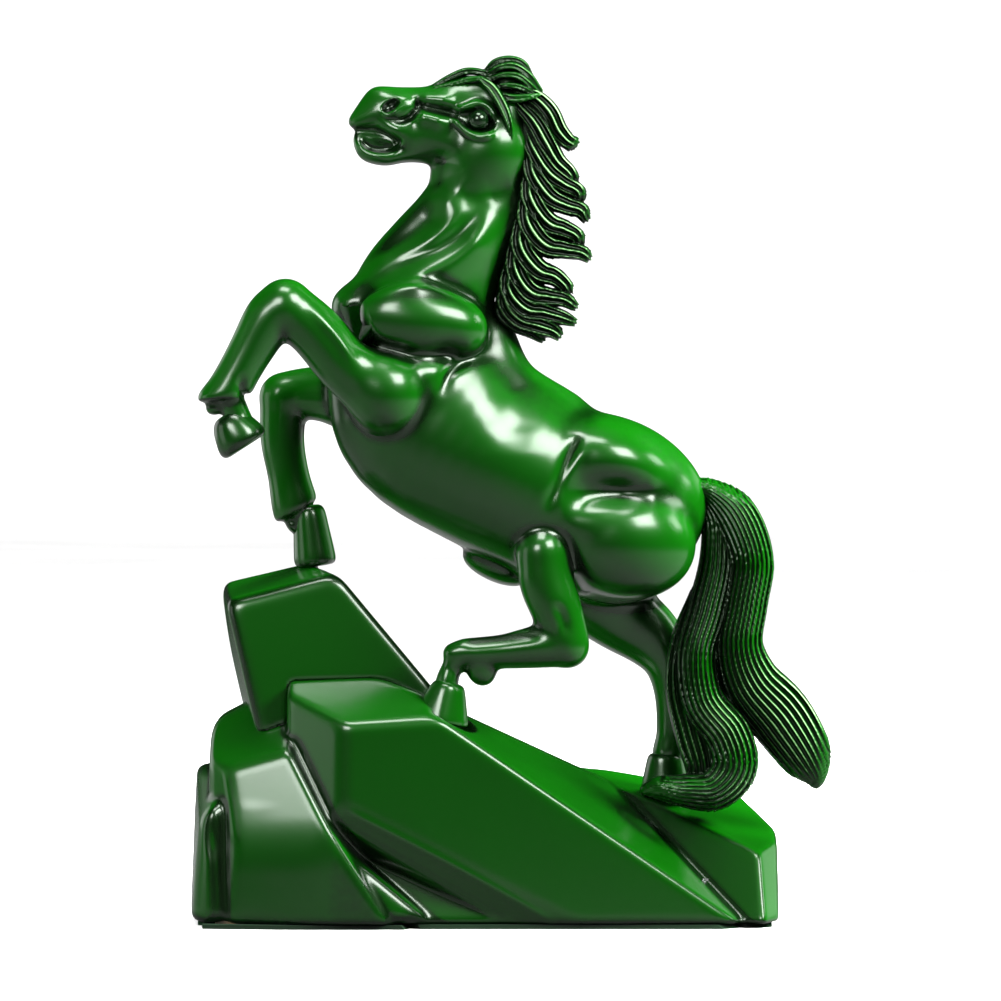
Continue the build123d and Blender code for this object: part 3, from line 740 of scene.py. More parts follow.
# Each block of the rock: two corners, the softness of its edges, and its facets as a point and
# a normal.
ROCK_BLOCKS = [
    # the slab
    ((-76, -40, ROCK_FOOT), (86, 39, 84), 2.2, [
        ((-27.5, -36, 41.5), (0.02, -1, 0.05)), ((16.5, -36.4, 43), (0.55, -0.21, 0.81)),
        ((-14, -11.5, 70.5), (0.39, 0.1, 0.91)), ((-48, -34, 70), (-0.04, -0.55, 0.83)),
        ((-58.5, -34.6, 55), (-0.6, -0.8, 0.05)), ((-56.5, -37, 40.5), (-0.16, -0.94, -0.3)),
        ((-56.5, -35.3, 34.5), (-0.42, -0.58, -0.7)), ((0, 39, 0), (0, 1, 0.12)),
    ]),
    # the core behind the recess under the slab's band
    ((-66, -35, ROCK_FOOT), (40, 36, 40), 1.0, [
        ((-27.5, -33, 7.5), (0, -0.93, 0.37)), ((16.5, -30, 28), (0.55, -0.21, 0.81)),
    ]),
    # the block at the right-hand end
    ((-10, -38, ROCK_FOOT), (90.8, 40, 50), 1.6, [
        ((34, 21, 45), (-0.49, -0.76, 0.43)), ((34, 21, 45.5), (0.17, -0.26, 0.95)),
        ((84, -22.5, 25), (0.83, -0.44, 0.32)), ((84.5, 20, 35.5), (0.78, 0.1, 0.62)),
        ((60, 40, 0), (0, 1, 0.1)),
    ]),
    # the boulder at the left
    ((-102.5, -40, ROCK_FOOT), (0, 38, 75), 2.4, [
        ((-75, -37, 28.5), (-0.2, -0.945, 0.26)), ((-75, -37, 28.5), (-0.2, -0.98, 0.02)),
        ((-97, -25.5, 53.5), (-0.3, -0.5, 0.81)), ((-95.5, 0, 71), (-0.46, 0, 0.89)),
        ((-103.5, 0, 63.5), (-0.88, 0, 0.47)), ((-97, -25, 53.5), (-0.77, -0.63, 0.08)),
        ((-74, -28, 59), (0.8, -0.28, 0.53)), ((-90, 37.5, 0), (0, 1, 0.12)),
    ]),
    # the foot of the boulder, which runs on to the right under the slab's band
    ((-98, -40, ROCK_FOOT), (0, 20, 44), 5.0, [
        ((-75, -37, 28.5), (-0.2, -0.945, 0.26)), ((-75, -37, 28.5), (-0.2, -0.98, 0.02)),
        ((-61.5, -38, 14.5), (-0.03, -0.98, 0.12)), ((-56.5, -38, 27), (0.63, -0.1, 0.77)),
        ((-97, -25, 53.5), (-0.77, -0.63, 0.08)),
    ]),
    # the lobe beyond the boulder
    ((-110, -36, ROCK_FOOT), (-80, 36, 52), 4, [
        ((-109, 0, 24.5), (-0.98, -0.1, 0.1)), ((-105, 0, 48.5), (-0.5, -0.3, 0.8)),
        ((-104, -31, 14.5), (-0.62, -0.78, 0.05)), ((-95, -24, 41.5), (0.75, -0.65, 0.1)),
        ((-100, 35, 0), (-0.1, 1, 0.1)),
    ]),
]
CRAG = ((-100, -16, 52), (-20, 34, 124), 4.2, [
    ((-96, 0, 100), (-0.96, -0.1, -0.22)), ((-95, -12, 110), (-0.24, -0.15, 0.96)),
    ((-67.5, 0, 123.5), (0.12, -0.17, 0.97)), ((-60, -10, 121), (0.76, 0.2, 0.62)),
    ((-66, -12.5, 100), (0.03, -0.99, 0.1)), ((-66, 32, 90), (0, 0.96, 0.28)),
])


def model_rock():
    """The outside of the hollow rock and the crag that stands on it."""
    low, high = box_of("rock_base")
    low, high = low - ROCK_ROOM, high + CRAG_ROOM
    rock, crag, hollow = (Clay(low, high, ROCK_CELL) for _ in range(3))
    for corner, far_corner, edge, facets in ROCK_BLOCKS:
        rock.join(Hewn(corner, far_corner, edge, facets), ROCK_BLEND)
        sunk = (corner[0], corner[1], corner[2] - WALL)
        hollow.join(Hewn(sunk, far_corner, 0, facets, WALL))
    # Worn rims that catch the light along the hewn edges.
    for rim, depth in (
        ([(-57.5, 41), (-20.5, 22), (16.5, 1)], 0.5),
        ([(-56.5, 34.5), (-31, 19.5), (-3.5, 3.5)], 0.5),
        ([(34.5, 45), (61, 35.5), (83.5, 25.5)], 0.6),
        ([(-97.5, 53.5), (-95, 41.5), (-93, 28.5)], 0.5),
    ):
        rock.press(NEAR, rim, RIM_WIDTH, -depth, RIM_INNER, taper=0.1)
    # The seat of the near hind hoof.
    rock.carve(Swell((-23, -21, 69.5), (11.5, 10, 3.4), tilt=-14), 1.0)
    # The pocket in the lobe.
    rock.carve(Swell((-101.5, -35, 34), (4.2, 4.4, 11), tilt=14), 3.0)
    crag.join(Hewn(*CRAG))
    crag.carve(Lump(rock, -CRAG_BEDDING))
    rock.soften(ROCK_SOFTNESS)
    rock.carve(Lump(hollow))
    crag.soften(ROCK_SOFTNESS)
    return rock, crag


# ------------------------------------------------------------------ hair
HAIR_CELL = 0.42
HAIR_MARGIN = 1.0
# How locks blend into each other: the long ones of the tail, and the short ones.
TAIL_BLEND = 0.6
LOCK_BLEND = 0.2
# The strands in a lock and the depth of its flutes.
MANE_HAIR = (4, 1.9)
FORELOCK_HAIR = (3, 1.1)
# How far out a lock of the mane lies and how wide it is: a length, and a share of its half
# height to add.
MANE_OUT, MANE_OUT_SHARE = 1.2, 0.5
MANE_WIDE, MANE_WIDE_SHARE = 1.6, 0.9


def hair_clay(node, below, above):
    """Clay for the hair round a CAD node, with room below and above its box."""
    low, high = box_of(node)
    return Clay(low - below, high + above, HAIR_CELL, HAIR_MARGIN)


def model_tail():
    """The tail: one lock that ends free and one that curls forward over the rock."""
    clay = hair_clay("tail", 6, 5)
    free = [
        (60, 0, 148, 3.5, 4), (68.5, 0, 146, 5, 5.5), (77, -1, 137.5, 8.5, 8), (82, -2, 123, 8.5, 9),
        (80, -2, 108, 8.5, 9.5), (78, -2, 94, 9, 10), (82, -1, 81.5, 11, 10.5),
        (91.5, 0, 70, 12.5, 10.5), (99, 0, 59, 10.5, 8.5), (103.5, 0, 50.5, 5, 4.5),
        (104, 0, 46.5, 2, 2),
    ]
    curl = [
        (64.5, 2, 146, 3.5, 4), (70.5, 1, 136.5, 6.5, 6), (71, 1, 121.5, 8, 8.5),
        (67.5, 0, 106, 8.5, 9.5), (63.5, -1, 91, 8, 10.5), (65.5, -2, 75.5, 8.5, 11.5),
        (74, -3, 63.5, 9, 12), (76, -4, 52.5, 9, 12), (69.5, -5, 45, 8, 11.5), (60, -6, 44.5, 6.5, 10),
        (51.5, -6, 45.5, 4.5, 7), (45.5, -6, 45, 2, 3.5),
    ]
    under = [
        (64.5, 3, 109.5, 5, 6), (60, 3, 94, 7, 7), (59.5, 2, 79, 8, 8), (63, 1, 65.5, 9, 9),
        (66, 0, 53.5, 8, 9), (64.5, 0, 46.5, 4, 6),
    ]
    clay.join(Lock(under, 8, 1.4))
    clay.join(Lock(curl, 10, 1.6), TAIL_BLEND)
    clay.join(Lock(free, 11, 1.6), TAIL_BLEND)
    return clay


# The locks of the mane: stations in side view as x, z and half height.
MANE_LOCKS = [
    [(3, 282, 3), (8.5, 280, 4.4), (13, 275.5, 5), (16, 269.5, 4.8), (19, 266, 4), (21, 265.5, 2.6)],
    [(3.5, 277, 3.6), (8, 272, 5), (12, 265, 5.4), (15.5, 259, 4.8), (19.5, 255, 4), (21, 251.5, 2.6)],
    [(5, 269.5, 3.6), (8, 262.5, 5.2), (12.5, 255.5, 5.4), (17.5, 251.5, 4.8), (22, 249, 4),
     (23, 246, 2.6)],
    [(6, 262.5, 3.6), (8, 254, 5.4), (13, 247, 5.4), (18.5, 244, 4.8), (23, 242.5, 4), (25, 240, 2.6)],
    [(6, 255.5, 3.6), (7, 246, 5.6), (12, 238.5, 5.6), (17.5, 236, 4.8), (21.5, 234, 4), (23, 231, 2.6)],
    [(5, 248, 3.6), (6, 238, 5.8), (11, 231, 5.8), (17.5, 229, 4.8), (23, 228, 4), (25.5, 226.5, 2.6)],
    [(3.5, 240.5, 3.6), (3.5, 230, 5.8), (8.5, 222.5, 5.8), (14, 220, 4.8), (17.5, 217.5, 4),
     (19, 215, 2.6)],
    [(1.5, 233, 3.6), (1.5, 222.5, 5.6), (6, 215, 5.8), (12, 213, 4.8), (17.5, 212, 4), (21, 210, 2.6)],
    [(0, 226, 3.6), (-0.5, 215.5, 5.4), (4.5, 209, 5.6), (11, 207.5, 4.8), (16.5, 206, 4),
     (20.5, 204.5, 2.6)],
    [(-1.5, 219, 3.6), (-1.5, 210.5, 5), (3, 205, 5), (9, 203, 4.8), (13.5, 201.5, 4), (15.5, 200, 2.6)],
    [(-3, 213, 3.2), (-2.5, 207.5, 4), (1.5, 203.5, 4), (6.5, 201.5, 4), (10, 199, 2.6)],
]


def model_mane():
    """The mane: locks that cascade from the crest, one over the other, on both sides."""
    clay = hair_clay("mane", 7, 6)
    for stations in MANE_LOCKS:
        for side in (NEAR, FAR):
            lock = []
            for x, z, half in stations:
                out = MANE_OUT + MANE_OUT_SHARE * half
                lock.append((x, side * out, z, half, MANE_WIDE + MANE_WIDE_SHARE * half))
            clay.join(Lock(lock, *MANE_HAIR), LOCK_BLEND)
    return clay


# The locks of the forelock: stations as x, distance from the middle, z and the half sizes.
FORELOCK_LOCKS = [
    # the tufts that rise over the poll and sweep back
    [(-9, 1.5, 289, 1.4, 2.2), (-5.5, 2.4, 292.5, 2, 3), (-0.5, 2.8, 293.5, 2.2, 3.4),
     (4, 2.8, 292, 2.2, 3.2), (7, 2.4, 287.5, 1.4, 2.4)],
    [(-8, 3, 288, 1.4, 2.4), (-4, 4, 290.5, 2.2, 3.6), (1, 4.4, 291, 2.4, 3.8), (6, 4.2, 288, 2.2, 3.4),
     (10, 3.2, 283, 1.3, 2.4)],
    [(-7.5, 4.6, 286.5, 1.4, 2.4), (-2.5, 5.6, 288, 2, 3.2), (2.5, 6, 287.5, 2.2, 3.2),
     (7, 5.2, 284, 2, 3), (11.5, 3.6, 279, 1.0, 2)],
    [(-5.5, 6.2, 284, 1.4, 2), (-1, 6.8, 284.5, 1.9, 2.6), (4, 6.8, 283.5, 1.9, 2.6),
     (9, 5.6, 280.5, 1.2, 2)],
    # the strands over the forehead
    [(-7, 2, 288.5, 2, 3.2), (-14.5, 2.4, 289.5, 2.2, 3.6), (-20.5, 2.2, 287.5, 2, 3.2),
     (-27.5, 1.6, 284, 0.8, 1.8)],
    [(-8, 5, 286.5, 1.8, 2.6), (-14, 5.2, 286.5, 2, 2.8), (-20, 4.6, 285, 1.6, 2.4),
     (-27, 3.6, 283.5, 0.7, 1.4)],
    # the lock down the cheek
    [(-10, 6, 286.5, 1.8, 2.4), (-6, 8, 283, 2.8, 2.8), (-2.5, 9.4, 277, 3.0, 2.8),
     (-0.5, 10.2, 271.5, 2.2, 2.4), (0.5, 10.2, 265.5, 0.7, 1.0)],
    # the ear, laid back
    [(-3.5, 8, 281, 2.0, 1.8), (1, 9, 280, 2.6, 2.2), (6, 9, 280.5, 1.9, 1.8),
     (10, 8.4, 281.5, 0.6, 0.8)],
]


def model_forelock():
    """The forelock over the poll and forehead, with a lock down each cheek."""
    clay = hair_clay("forelock", (4, 8, 16), (6, 8, 4))
    clay.join(Swell((0.5, 0, 285.5), (9, 5, 6), tilt=-30))
    for side in (NEAR, FAR):
        for stations in FORELOCK_LOCKS:
            lock = [(x, side * out, z, half, width) for x, out, z, half, width in stations]
            clay.join(Lock(lock, *FORELOCK_HAIR), LOCK_BLEND)
    return clay


# ------------------------------------------------------------------ hooves and eyes
HOOF_CELL = 0.45
EYE_CELL = 0.2
EYE_SHIFT = np.array([1.2, 0, 0.2])
# The room round an eye and a hoof in their clay, and how far a hoof may reach into it.
EYE_ROOM = 1.5
HOOF_ROOM = 6
HOOF_REACH = 5
HOOF_SIDES = 8
HOOF_SOFTNESS = 0.5


def model_hoof(node, axis, coronet, sole, shift, edge=2.0):
    """A hoof: a tapered block between its coronet and its sole.

    The axis points from coronet to sole in side view.  Coronet and sole are each a place
    along the axis from the middle of the CAD hoof, moved by the shift, a half length and
    a half width.
    """
    centre, half = place_of(node)
    centre = centre + shift
    axis = np.array([axis[0], 0, axis[1]]) / np.hypot(*axis)
    fore = np.array([axis[2], 0, -axis[0]])
    clay = Clay(centre - half - HOOF_ROOM, centre + half + HOOF_ROOM, HOOF_CELL)
    facets = [
        (centre + axis * coronet[0], -axis),
        (centre + axis * sole[0], axis),
    ]
    rise = sole[0] - coronet[0]
    for i in range(HOOF_SIDES):
        turn = 2 * math.pi * (i + 0.5) / HOOF_SIDES
        out = fore * math.cos(turn) + np.array([0, 1, 0]) * math.sin(turn)
        reach = [math.hypot(end[1] * math.cos(turn), end[2] * math.sin(turn)) for end in (coronet, sole)]
        slant = (reach[1] - reach[0]) / rise
        facets.append((centre + axis * coronet[0] + out * reach[0], out - axis * slant))
    clay.join(Hewn(centre - half - HOOF_REACH, centre + half + HOOF_REACH, edge, facets))
    clay.soften(HOOF_SOFTNESS)
    return clay


def model_eye(node):
    """An eyeball, set well back in its socket."""
    centre, half = place_of(node)
    centre = centre + EYE_SHIFT
    clay = Clay(centre - half - EYE_ROOM, centre + half + EYE_ROOM, EYE_CELL)
    clay.join(Swell(centre, half))
    return clay


# ------------------------------------------------------------------ materials
# Where the relief starts and ends to count as a ridge, which is painted paler as a highlight, and as a
# groove or hollow, which is painted darker as shade.
RIDGE_FROM, RIDGE_TO = 0.26, 0.6
SHADE_FROM, SHADE_TO = 0.0, -0.14
# How much the fine noise roughens the relief, and the scales of the two noises.
RELIEF_WAVER = 0.06
CLOUD_SCALE, CLOUD_DETAIL = 38, 4
FINE_SCALE, FINE_DETAIL = 420, 3
# The darkest share of the colour in the clouds of the lacquer, and in a plain grain.
CLOUD_SHARE, PLAIN_SHARE = 0.72, 0.7
# How far the clouds make the lacquer smoother and rougher.
SMOOTHER, ROUGHER = 0.06, 0.08
# The strength and the height, in metres, of the bumps in the surface.
LACQUER_GRAIN = 0.05
LACQUER_BUMP, PLAIN_BUMP = 0.0003, 0.0002


def spaced(values):
    """Values by socket name, with spaces in place of the underscores."""
    return {key.replace("_", " "): value for key, value in values.items()}


class Recipe:
    """A new material, with short ways to set its shader and to add its nodes."""

    def __init__(self, name, **values):
        self.material = bpy.data.materials.new(name)
        self.material.use_nodes = True
        self.tree = self.material.node_tree
        self.shader = self.tree.nodes["Principled BSDF"]
        self.feed(self.shader, spaced(values))

    def feed(self, node, inputs):
        """Sets each input to a value, or links it to another node's output."""
        for socket, value in inputs.items():
            if isinstance(value, bpy.types.NodeSocket):
                self.tree.links.new(value, node.inputs[socket])
            else:
                node.inputs[socket].default_value = value

    def add(self, kind, inputs, output=0, **settings):
        """Adds a node and gives back one of its outputs."""
        node = self.tree.nodes.new("ShaderNode" + kind)
        for key, value in settings.items():
            setattr(node, key, value)
        self.feed(node, inputs)
        return node.outputs[output]

    def noise(self, **inputs):
        """A noise fixed to the object."""
        place = self.add("TexCoord", {}, "Object")
        return self.add("TexNoise", {"Vector": place, **inputs}, "Fac")

    def span(self, value, **limits):
        """A value mapped from one range to another."""
        return self.add("MapRange", {"Value": value, **spaced(limits)}, "Result")

    def mix(self, factor, first, second):
        """One colour mixed with another by a factor."""
        return self.add("Mix", {"Factor": factor, "A": first, "B": second}, "Result", data_type="RGBA")

    def bump(self, height, strength, distance):
        """Bumps in the surface."""
        inputs = {"Strength": strength, "Distance": distance, "Height": height}
        self.feed(self.shader, {"Normal": self.add("Bump", inputs, "Normal")})


def shaded(colour, share=1.0):
    """A share of a colour, opaque."""
    return (*(c * share for c in colour), 1)


def lacquer(name, colour, shade_colour, roughness, coat=1.0, glare=0.25, highlight_and_wear=None):
    """Jade-green lacquer: painted shade, a darker colour, in the grooves and hollows, and on the ridges a
    paler colour that paints a highlight, with some rubbed wear on the hair.
    """
    recipe = Recipe(
        name,
        Coat_Weight=coat,
        Specular_IOR_Level=glare,
        Coat_Roughness=0.21,
        Coat_IOR=1.6,
        Specular_Tint=(0.2, 1.0, 0.15, 1),
    )
    cloud = recipe.noise(Scale=CLOUD_SCALE, Detail=CLOUD_DETAIL)
    fine = recipe.noise(Scale=FINE_SCALE, Detail=FINE_DETAIL)
    # Ridge and groove: the relief, roughened a little by the fine noise.
    relief = recipe.add("Attribute", {}, "Fac", attribute_name="relief")
    waver = recipe.add("Math", {0: fine, 1: RELIEF_WAVER, 2: relief}, operation="MULTIPLY_ADD")
    ridge = recipe.span(waver, From_Min=RIDGE_FROM, From_Max=RIDGE_TO)
    painted_shade = recipe.span(waver, From_Min=SHADE_FROM, From_Max=SHADE_TO)
    paint = recipe.mix(cloud, shaded(colour), shaded(colour, CLOUD_SHARE))
    # Painted shade: grooves and hollows turn towards the darker shade colour.
    paint = recipe.mix(painted_shade, paint, shaded(shade_colour))
    # Painted highlight, and on the hair some rubbed wear: the ridges turn paler.
    if highlight_and_wear:
        paint = recipe.mix(ridge, paint, shaded(highlight_and_wear))
    gloss = recipe.span(cloud, To_Min=roughness - SMOOTHER, To_Max=roughness + ROUGHER)
    recipe.feed(recipe.shader, {"Base Color": paint, "Roughness": gloss})
    recipe.bump(fine, LACQUER_GRAIN, LACQUER_BUMP)
    return recipe.material


def plain(name, colour, roughness, metallic=0.0, scale=900, grain=0.2):
    """A plain material with a fine grain in its colour and surface."""
    recipe = Recipe(name, Metallic=metallic, Roughness=roughness)
    noise = recipe.noise(Scale=scale)
    paint = recipe.mix(noise, shaded(colour), shaded(colour, PLAIN_SHARE))
    recipe.feed(recipe.shader, {"Base Color": paint})
    recipe.bump(noise, grain, PLAIN_BUMP)
    return recipe.material


GREEN = (0.0015, 0.075, 0.0008)
# The darker colour that paints shade into grooves and hollows.
SHADE_GREEN = (0.0003, 0.009, 0.0003)
horse_lacquer = lacquer("horse_lacquer", GREEN, SHADE_GREEN, 0.36)
# The rock's paler edges are a painted highlight.
rock_lacquer = lacquer("rock_lacquer", GREEN, SHADE_GREEN, 0.38, highlight_and_wear=(0.12, 0.4, 0.1))
hoof_lacquer = lacquer("hoof_lacquer", (0.0015, 0.065, 0.0008), SHADE_GREEN, 0.34)
# A paler colour on the ridges of the hair: a painted highlight, with some rubbed wear.
HAIR_HIGHLIGHT_AND_WEAR = (0.3, 0.6, 0.25)
tail_lacquer = lacquer(
    "tail_lacquer", (0.0014, 0.075, 0.0008), (0.0002, 0.008, 0.0002), 0.34, 0.4, 0.2, HAIR_HIGHLIGHT_AND_WEAR
)
# A darker copy of the lacquer for the mane, which paints shade into the troughs of its flutes.
hair_lacquer = lacquer(
    "hair_lacquer", (0.001, 0.03, 0.0006), (0.0001, 0.0016, 0.0001), 0.34, 0.3, 0.12, HAIR_HIGHLIGHT_AND_WEAR
)
# A darker copy of the lacquer for the eyeballs, which paints the shade of their sockets.
shaded_eye_lacquer = lacquer("shaded_eye_lacquer", (0.0015, 0.015, 0.002), SHADE_GREEN, 0.12)


# ------------------------------------------------------------------ pieces
# The corners of the clay for the body and, with finer cells, for the head.
BODY_CORNERS = (-112, -36, 48), (70, 34, 272)
HEAD_CORNERS = (-66, -22, 240), (18, 22, 294)
# Saw cuts.  A leg lies beyond all of its planes, each a point and a normal.
LEG_CUTS = {
    "near_foreleg": [
        ((-51, -20, 182), (-0.75, 0, 0.66)), ((0, -9, 0), (0, -1, 0)), ((-47, 0, 0), (-1, 0, 0)),
    ],
    "far_foreleg": [((-60, 0, 0), (-1, 0, 0)), ((0, 6, 0), (0, 1, 0)), ((0, 0, 200), (0, 0, -1))],
    "near_hind_leg": [((0, 0, 113), (0, 0, -1)), ((0, -8, 0), (0, -1, 0)), ((27, 0, 0), (-1, 0, 0))],
    "far_hind_leg": [((0, 0, 106), (0, 0, -1)), ((0, 3, 0), (0, 1, 0))],
}
NECK_CUT = [((-30, 0, 217), (0.08, 0, 1))]
HEAD_CUT = [((-12, 0, 255), (-0.15, 0, 1))]


def cut(skin, planes):
    """Saws a skin into what is not beyond all of the planes, and what is."""
    return saw(skin, np.min([(skin.points - point) @ unit(normal) for point, normal in planes], axis=0))


def build_horse():
    """Casts the horse's skin and saws it into its castings."""
    skins = []
    for corners, cell in ((BODY_CORNERS, SKIN_CELL), (HEAD_CORNERS, FINE_CELL)):
        clay = Clay(*corners, cell)
        model_horse(clay)
        skins.append(cast(clay))
    skin, fine_skin = skins
    legs = {}
    for leg, planes in LEG_CUTS.items():
        skin, legs[leg] = cut(skin, planes)
    body, neck = cut(skin, NECK_CUT)
    neck, _ = cut(neck, HEAD_CUT)
    _, head = cut(fine_skin, HEAD_CUT)
    for node, piece in {"body": body, "neck": neck, "head": head, **legs}.items():
        make_piece(f"{node}_cast", piece, horse_lacquer, [node])


build_horse()

rock_clay, crag_clay = model_rock()
make_piece("rock_base_cast", cast(rock_clay), rock_lacquer, ["rock_base"])
make_piece("rock_crag_cast", cast(crag_clay), rock_lacquer, ["rock_crag"])
make_piece("tail_cast", cast(model_tail()), tail_lacquer, ["tail"])
make_piece("mane_cast", cast(model_mane()), hair_lacquer, ["mane"])
make_piece("forelock_cast", cast(model_forelock()), tail_lacquer, ["forelock"])

HOOVES = {
    # axis in side view, then place, half length and half width at coronet and sole
    "near_fore_hoof": ((0.55, -0.84), (-7, 6.6, 6.4), (6, 10.6, 8.5), (-0.7, 0, -0.3), 4.5),
    "far_fore_hoof": ((0.12, -0.99), (-9, 5.5, 6.5), (12, 7.6, 8.5), (-1, 0, 0.5), 3),
    "near_hind_hoof": ((-0.22, -0.98), (-8.5, 5.4, 5.8), (5.5, 9.8, 9), (-1.5, -2, 0)),
    "far_hind_hoof": ((0.0, -1.0), (-6, 6, 6), (8.8, 9, 8.8), (0, 0, 0)),
}
for node, shape in HOOVES.items():
    hoof = cast(model_hoof(node, *shape))
    make_piece(f"{node}_cast", hoof, hoof_lacquer, [node])
for node in ("near_eye", "far_eye"):
    make_piece(f"{node}_ball", cast(model_eye(node)), shaded_eye_lacquer, [node])

FINISH = {
    "armature_steel": plain("armature_steel", (0.42, 0.42, 0.43), 0.35, 0.9),
    "zinc_plate": plain("zinc_plate", (0.62, 0.62, 0.64), 0.3, 0.9),
    "board_wood": plain("board_wood", (0.42, 0.29, 0.17), 0.7, scale=300),
    "felt_cloth": plain("felt_cloth", (0.015, 0.05, 0.02), 0.95, scale=2500, grain=0.8),
    "mortar": plain("mortar", (0.45, 0.44, 0.41), 0.9, scale=500, grain=0.6),
}
for subpart in frame["record"]["subparts"]:
    finish = FINISH.get(subpart["material_slot"])
    if finish:
        materials = frame["nodes"][subpart["node"]].data.materials
        materials.clear()
        materials.append(finish)


# ------------------------------------------------------------------ studio
# Sizes of the studio are in figurine heights.  The paper runs this far to each side and to
# the front, starts to rise at the bend, and turns upwards within the radius.
PAPER_REACH = 14
PAPER_BEND = 12
BEND_RADIUS = 2
BEND_POINTS = 12
PAPER_WHITE = (0.8, 0.8, 0.8)
CARD_GREY = (0.1, 0.1, 0.1)
CARD_REACH = 4
# The card lies this many metres above the paper.
CARD_RISE = 0.0001
WORLD_LIGHT = 0.008
PAPER_POWER = 6.2
PAPER_SPREAD, PAPER_SLANT = math.radians(60), math.radians(42)
# What the softboxes and the windows are aimed at.
BOX_AIM, WINDOW_AIM = (0.1, 0, 0.4), (0, 0, 0.4)
# Lights that show the colour and leave no glare, as through crossed filters: where each is,
# its size and its power in watts.
SOFTBOXES = (
    ("overhead_softbox", (-0.1, 0.35, 2.9), (2.0, 1.4), 12),
    ("back_key", (1.7, 1.4, 2.3), (1.0, 1.0), 32),
    ("right_key", (2.3, -0.5, 1.7), (1.0, 1.0), 30),
    ("left_fill", (-2.1, -0.7, 1.3), (1.0, 1.0), 5),
)
# Windows that are seen only as glare: where each is, its size and its brightness.
WINDOWS = (
    ("upper_window", (-0.3, -0.85, 2.75), (1.0, 0.6), 11),
    ("right_window", (0.95, -1.55, 1.95), (0.95, 0.95), 15),
    ("left_window", (-1.2, -2.2, 1.65), (0.9, 0.8), 11),
    ("side_window", (2.1, -0.1, 1.6), (0.7, 0.7), 5),
    ("left_card", (-2.2, -0.3, 0.6), (0.9, 1.0), 0.8),
    ("left_back_card", (-2.0, 1.4, 0.8), (1.4, 1.3), 0.9),
    ("right_card", (2.3, 1.5, 0.9), (1.4, 1.4), 0.7),
)
# A window's power for its brightness and area.
WATTS_PER_RADIANCE = 4
# The camera's lens in millimetres and its height above level.
CAMERA_LENS = 250
CAMERA_ELEVATION = math.radians(1.8)
# The camera sees this far, in metres.
CAMERA_RANGE = 100
# The figurine's height fills this share of the square picture.
FILLED = 0.864
# What the middle of the picture shows, in millimetres along X and Z.
CAMERA_AIM = (-3.6, 143.3)


def area_light(name, place, aim, size, power):
    """A rectangular softbox at a place, aimed at another, both in figurine heights."""
    light = bpy.data.lights.new(name, "AREA")
    light.shape = "RECTANGLE"
    light.size, light.size_y = size[0] * HEIGHT, size[1] * HEIGHT
    light.energy = power
    holder = new_object(name, light)
    holder.location = Vector(place) * HEIGHT
    aim = Vector(aim) * HEIGHT
    holder.rotation_euler = (aim - holder.location).to_track_quat("-Z", "Y").to_euler()
    return holder


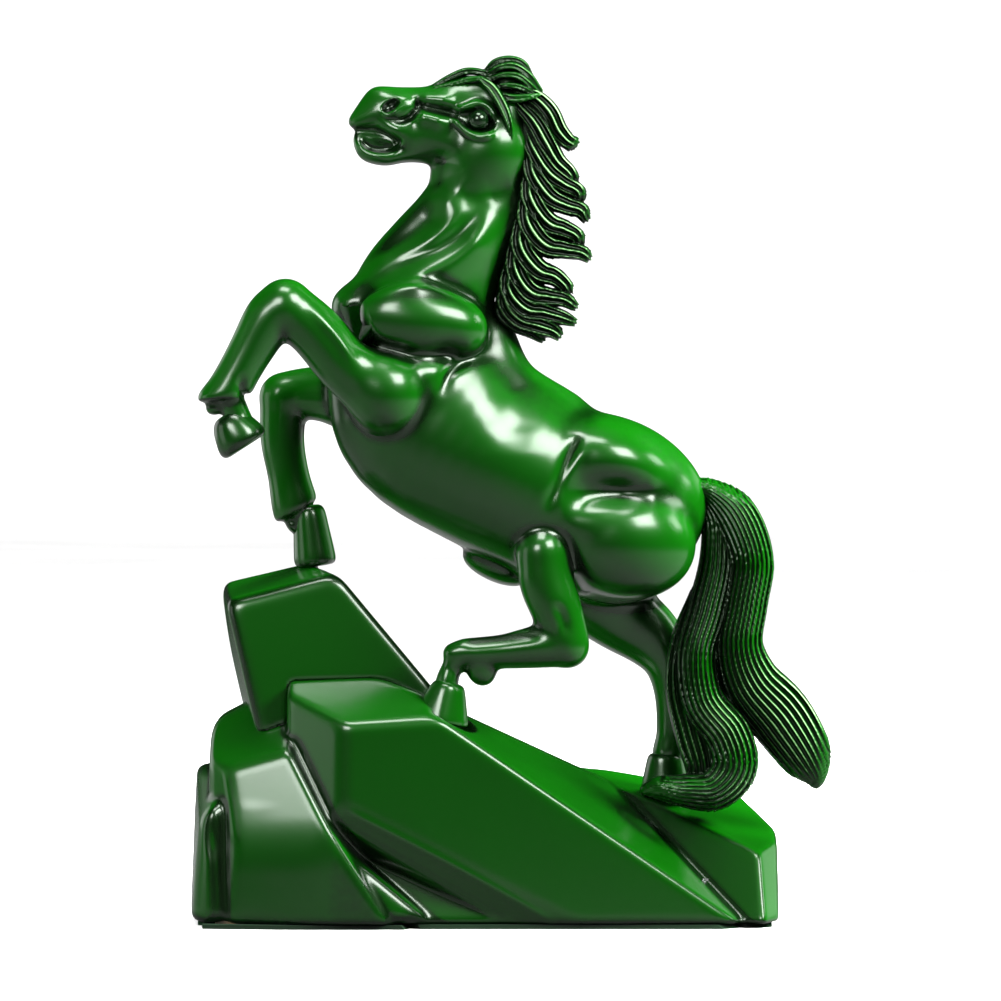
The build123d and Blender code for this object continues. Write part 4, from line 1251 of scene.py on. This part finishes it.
def build_paper():
    """A pale paper floor that sweeps up behind, lit by a light of its own."""
    turns = np.linspace(0, math.pi / 2, BEND_POINTS)
    bend = [
        (PAPER_BEND + BEND_RADIUS * math.sin(a), BEND_RADIUS - BEND_RADIUS * math.cos(a)) for a in turns
    ]
    profile = [(-PAPER_REACH, 0), *bend, (PAPER_REACH, PAPER_BEND)]
    vertices, faces = [], []
    for y, z in profile:
        vertices += [(x * HEIGHT, y * HEIGHT, z * HEIGHT) for x in (-PAPER_REACH, PAPER_REACH)]
    for i in range(len(profile) - 1):
        faces.append((2 * i, 2 * i + 1, 2 * i + 3, 2 * i + 2))
    mesh = bpy.data.meshes.new("studio_sweep")
    mesh.from_pydata(vertices, [], faces)
    mesh.shade_smooth()
    sweep = new_object("studio_sweep", mesh)
    mesh.materials.append(plain("studio_paper", PAPER_WHITE, 1.0, scale=4, grain=0.0))
    # The paper is lit on its own and casts no glare back on the lacquer.
    sweep.visible_glossy = False
    sweep.visible_diffuse = False

    light = bpy.data.lights.new("paper_light", "SUN")
    light.energy, light.angle = PAPER_POWER, PAPER_SPREAD
    sun = new_object("paper_light", light)
    sun.rotation_euler = (PAPER_SLANT, 0, 0)
    lit = bpy.data.collections.new("paper_only")
    lit.objects.link(sweep)
    sun.light_linking.receiver_collection = lit


def build_card():
    """A grey card on the floor, seen only as a faint sheen in the surfaces that face down."""
    card = bpy.data.meshes.new("sheen_card")
    signs = ((-1, -1), (1, -1), (1, 1), (-1, 1))
    corners = [(i * CARD_REACH * HEIGHT, j * CARD_REACH * HEIGHT, CARD_RISE) for i, j in signs]
    card.from_pydata(corners, [], [(0, 1, 2, 3)])
    floor = new_object("sheen_card", card)
    card.materials.append(plain("card_grey", CARD_GREY, 1.0, scale=4, grain=0.0))
    floor.visible_camera = False
    floor.visible_diffuse = False
    floor.visible_shadow = False


def build_lights():
    """The dim world, the softboxes and the windows."""
    world = bpy.data.worlds.new("studio")
    bpy.context.scene.world = world
    world.use_nodes = True
    background = world.node_tree.nodes["Background"]
    background.inputs["Color"].default_value = (1, 1, 1, 1)
    background.inputs["Strength"].default_value = WORLD_LIGHT
    for name, place, size, power in SOFTBOXES:
        area_light(name, place, BOX_AIM, size, power).visible_glossy = False
    for name, place, size, radiance in WINDOWS:
        area = size[0] * size[1] * HEIGHT**2
        power = WATTS_PER_RADIANCE * radiance * area
        area_light(name, place, WINDOW_AIM, size, power).visible_diffuse = False


def build_camera():
    """The camera, at the photograph's angle and far enough away for a flat view."""
    camera = bpy.data.cameras.new("camera")
    camera.lens = CAMERA_LENS
    camera.clip_end = CAMERA_RANGE
    holder = new_object("camera", camera)
    bpy.context.scene.camera = holder
    view = 2 * math.atan(camera.sensor_width / 2 / camera.lens)
    distance = HEIGHT / FILLED / 2 / math.tan(view / 2)
    aim = Vector((CAMERA_AIM[0] * MM, 0, CAMERA_AIM[1] * MM))
    back = Vector((0, -math.cos(CAMERA_ELEVATION), math.sin(CAMERA_ELEVATION)))
    holder.location = aim + distance * back
    holder.rotation_euler = (math.pi / 2 - CAMERA_ELEVATION, 0, 0)


build_paper()
build_card()
build_lights()
build_camera()
bpy.context.scene.view_settings.view_transform = "Standard"
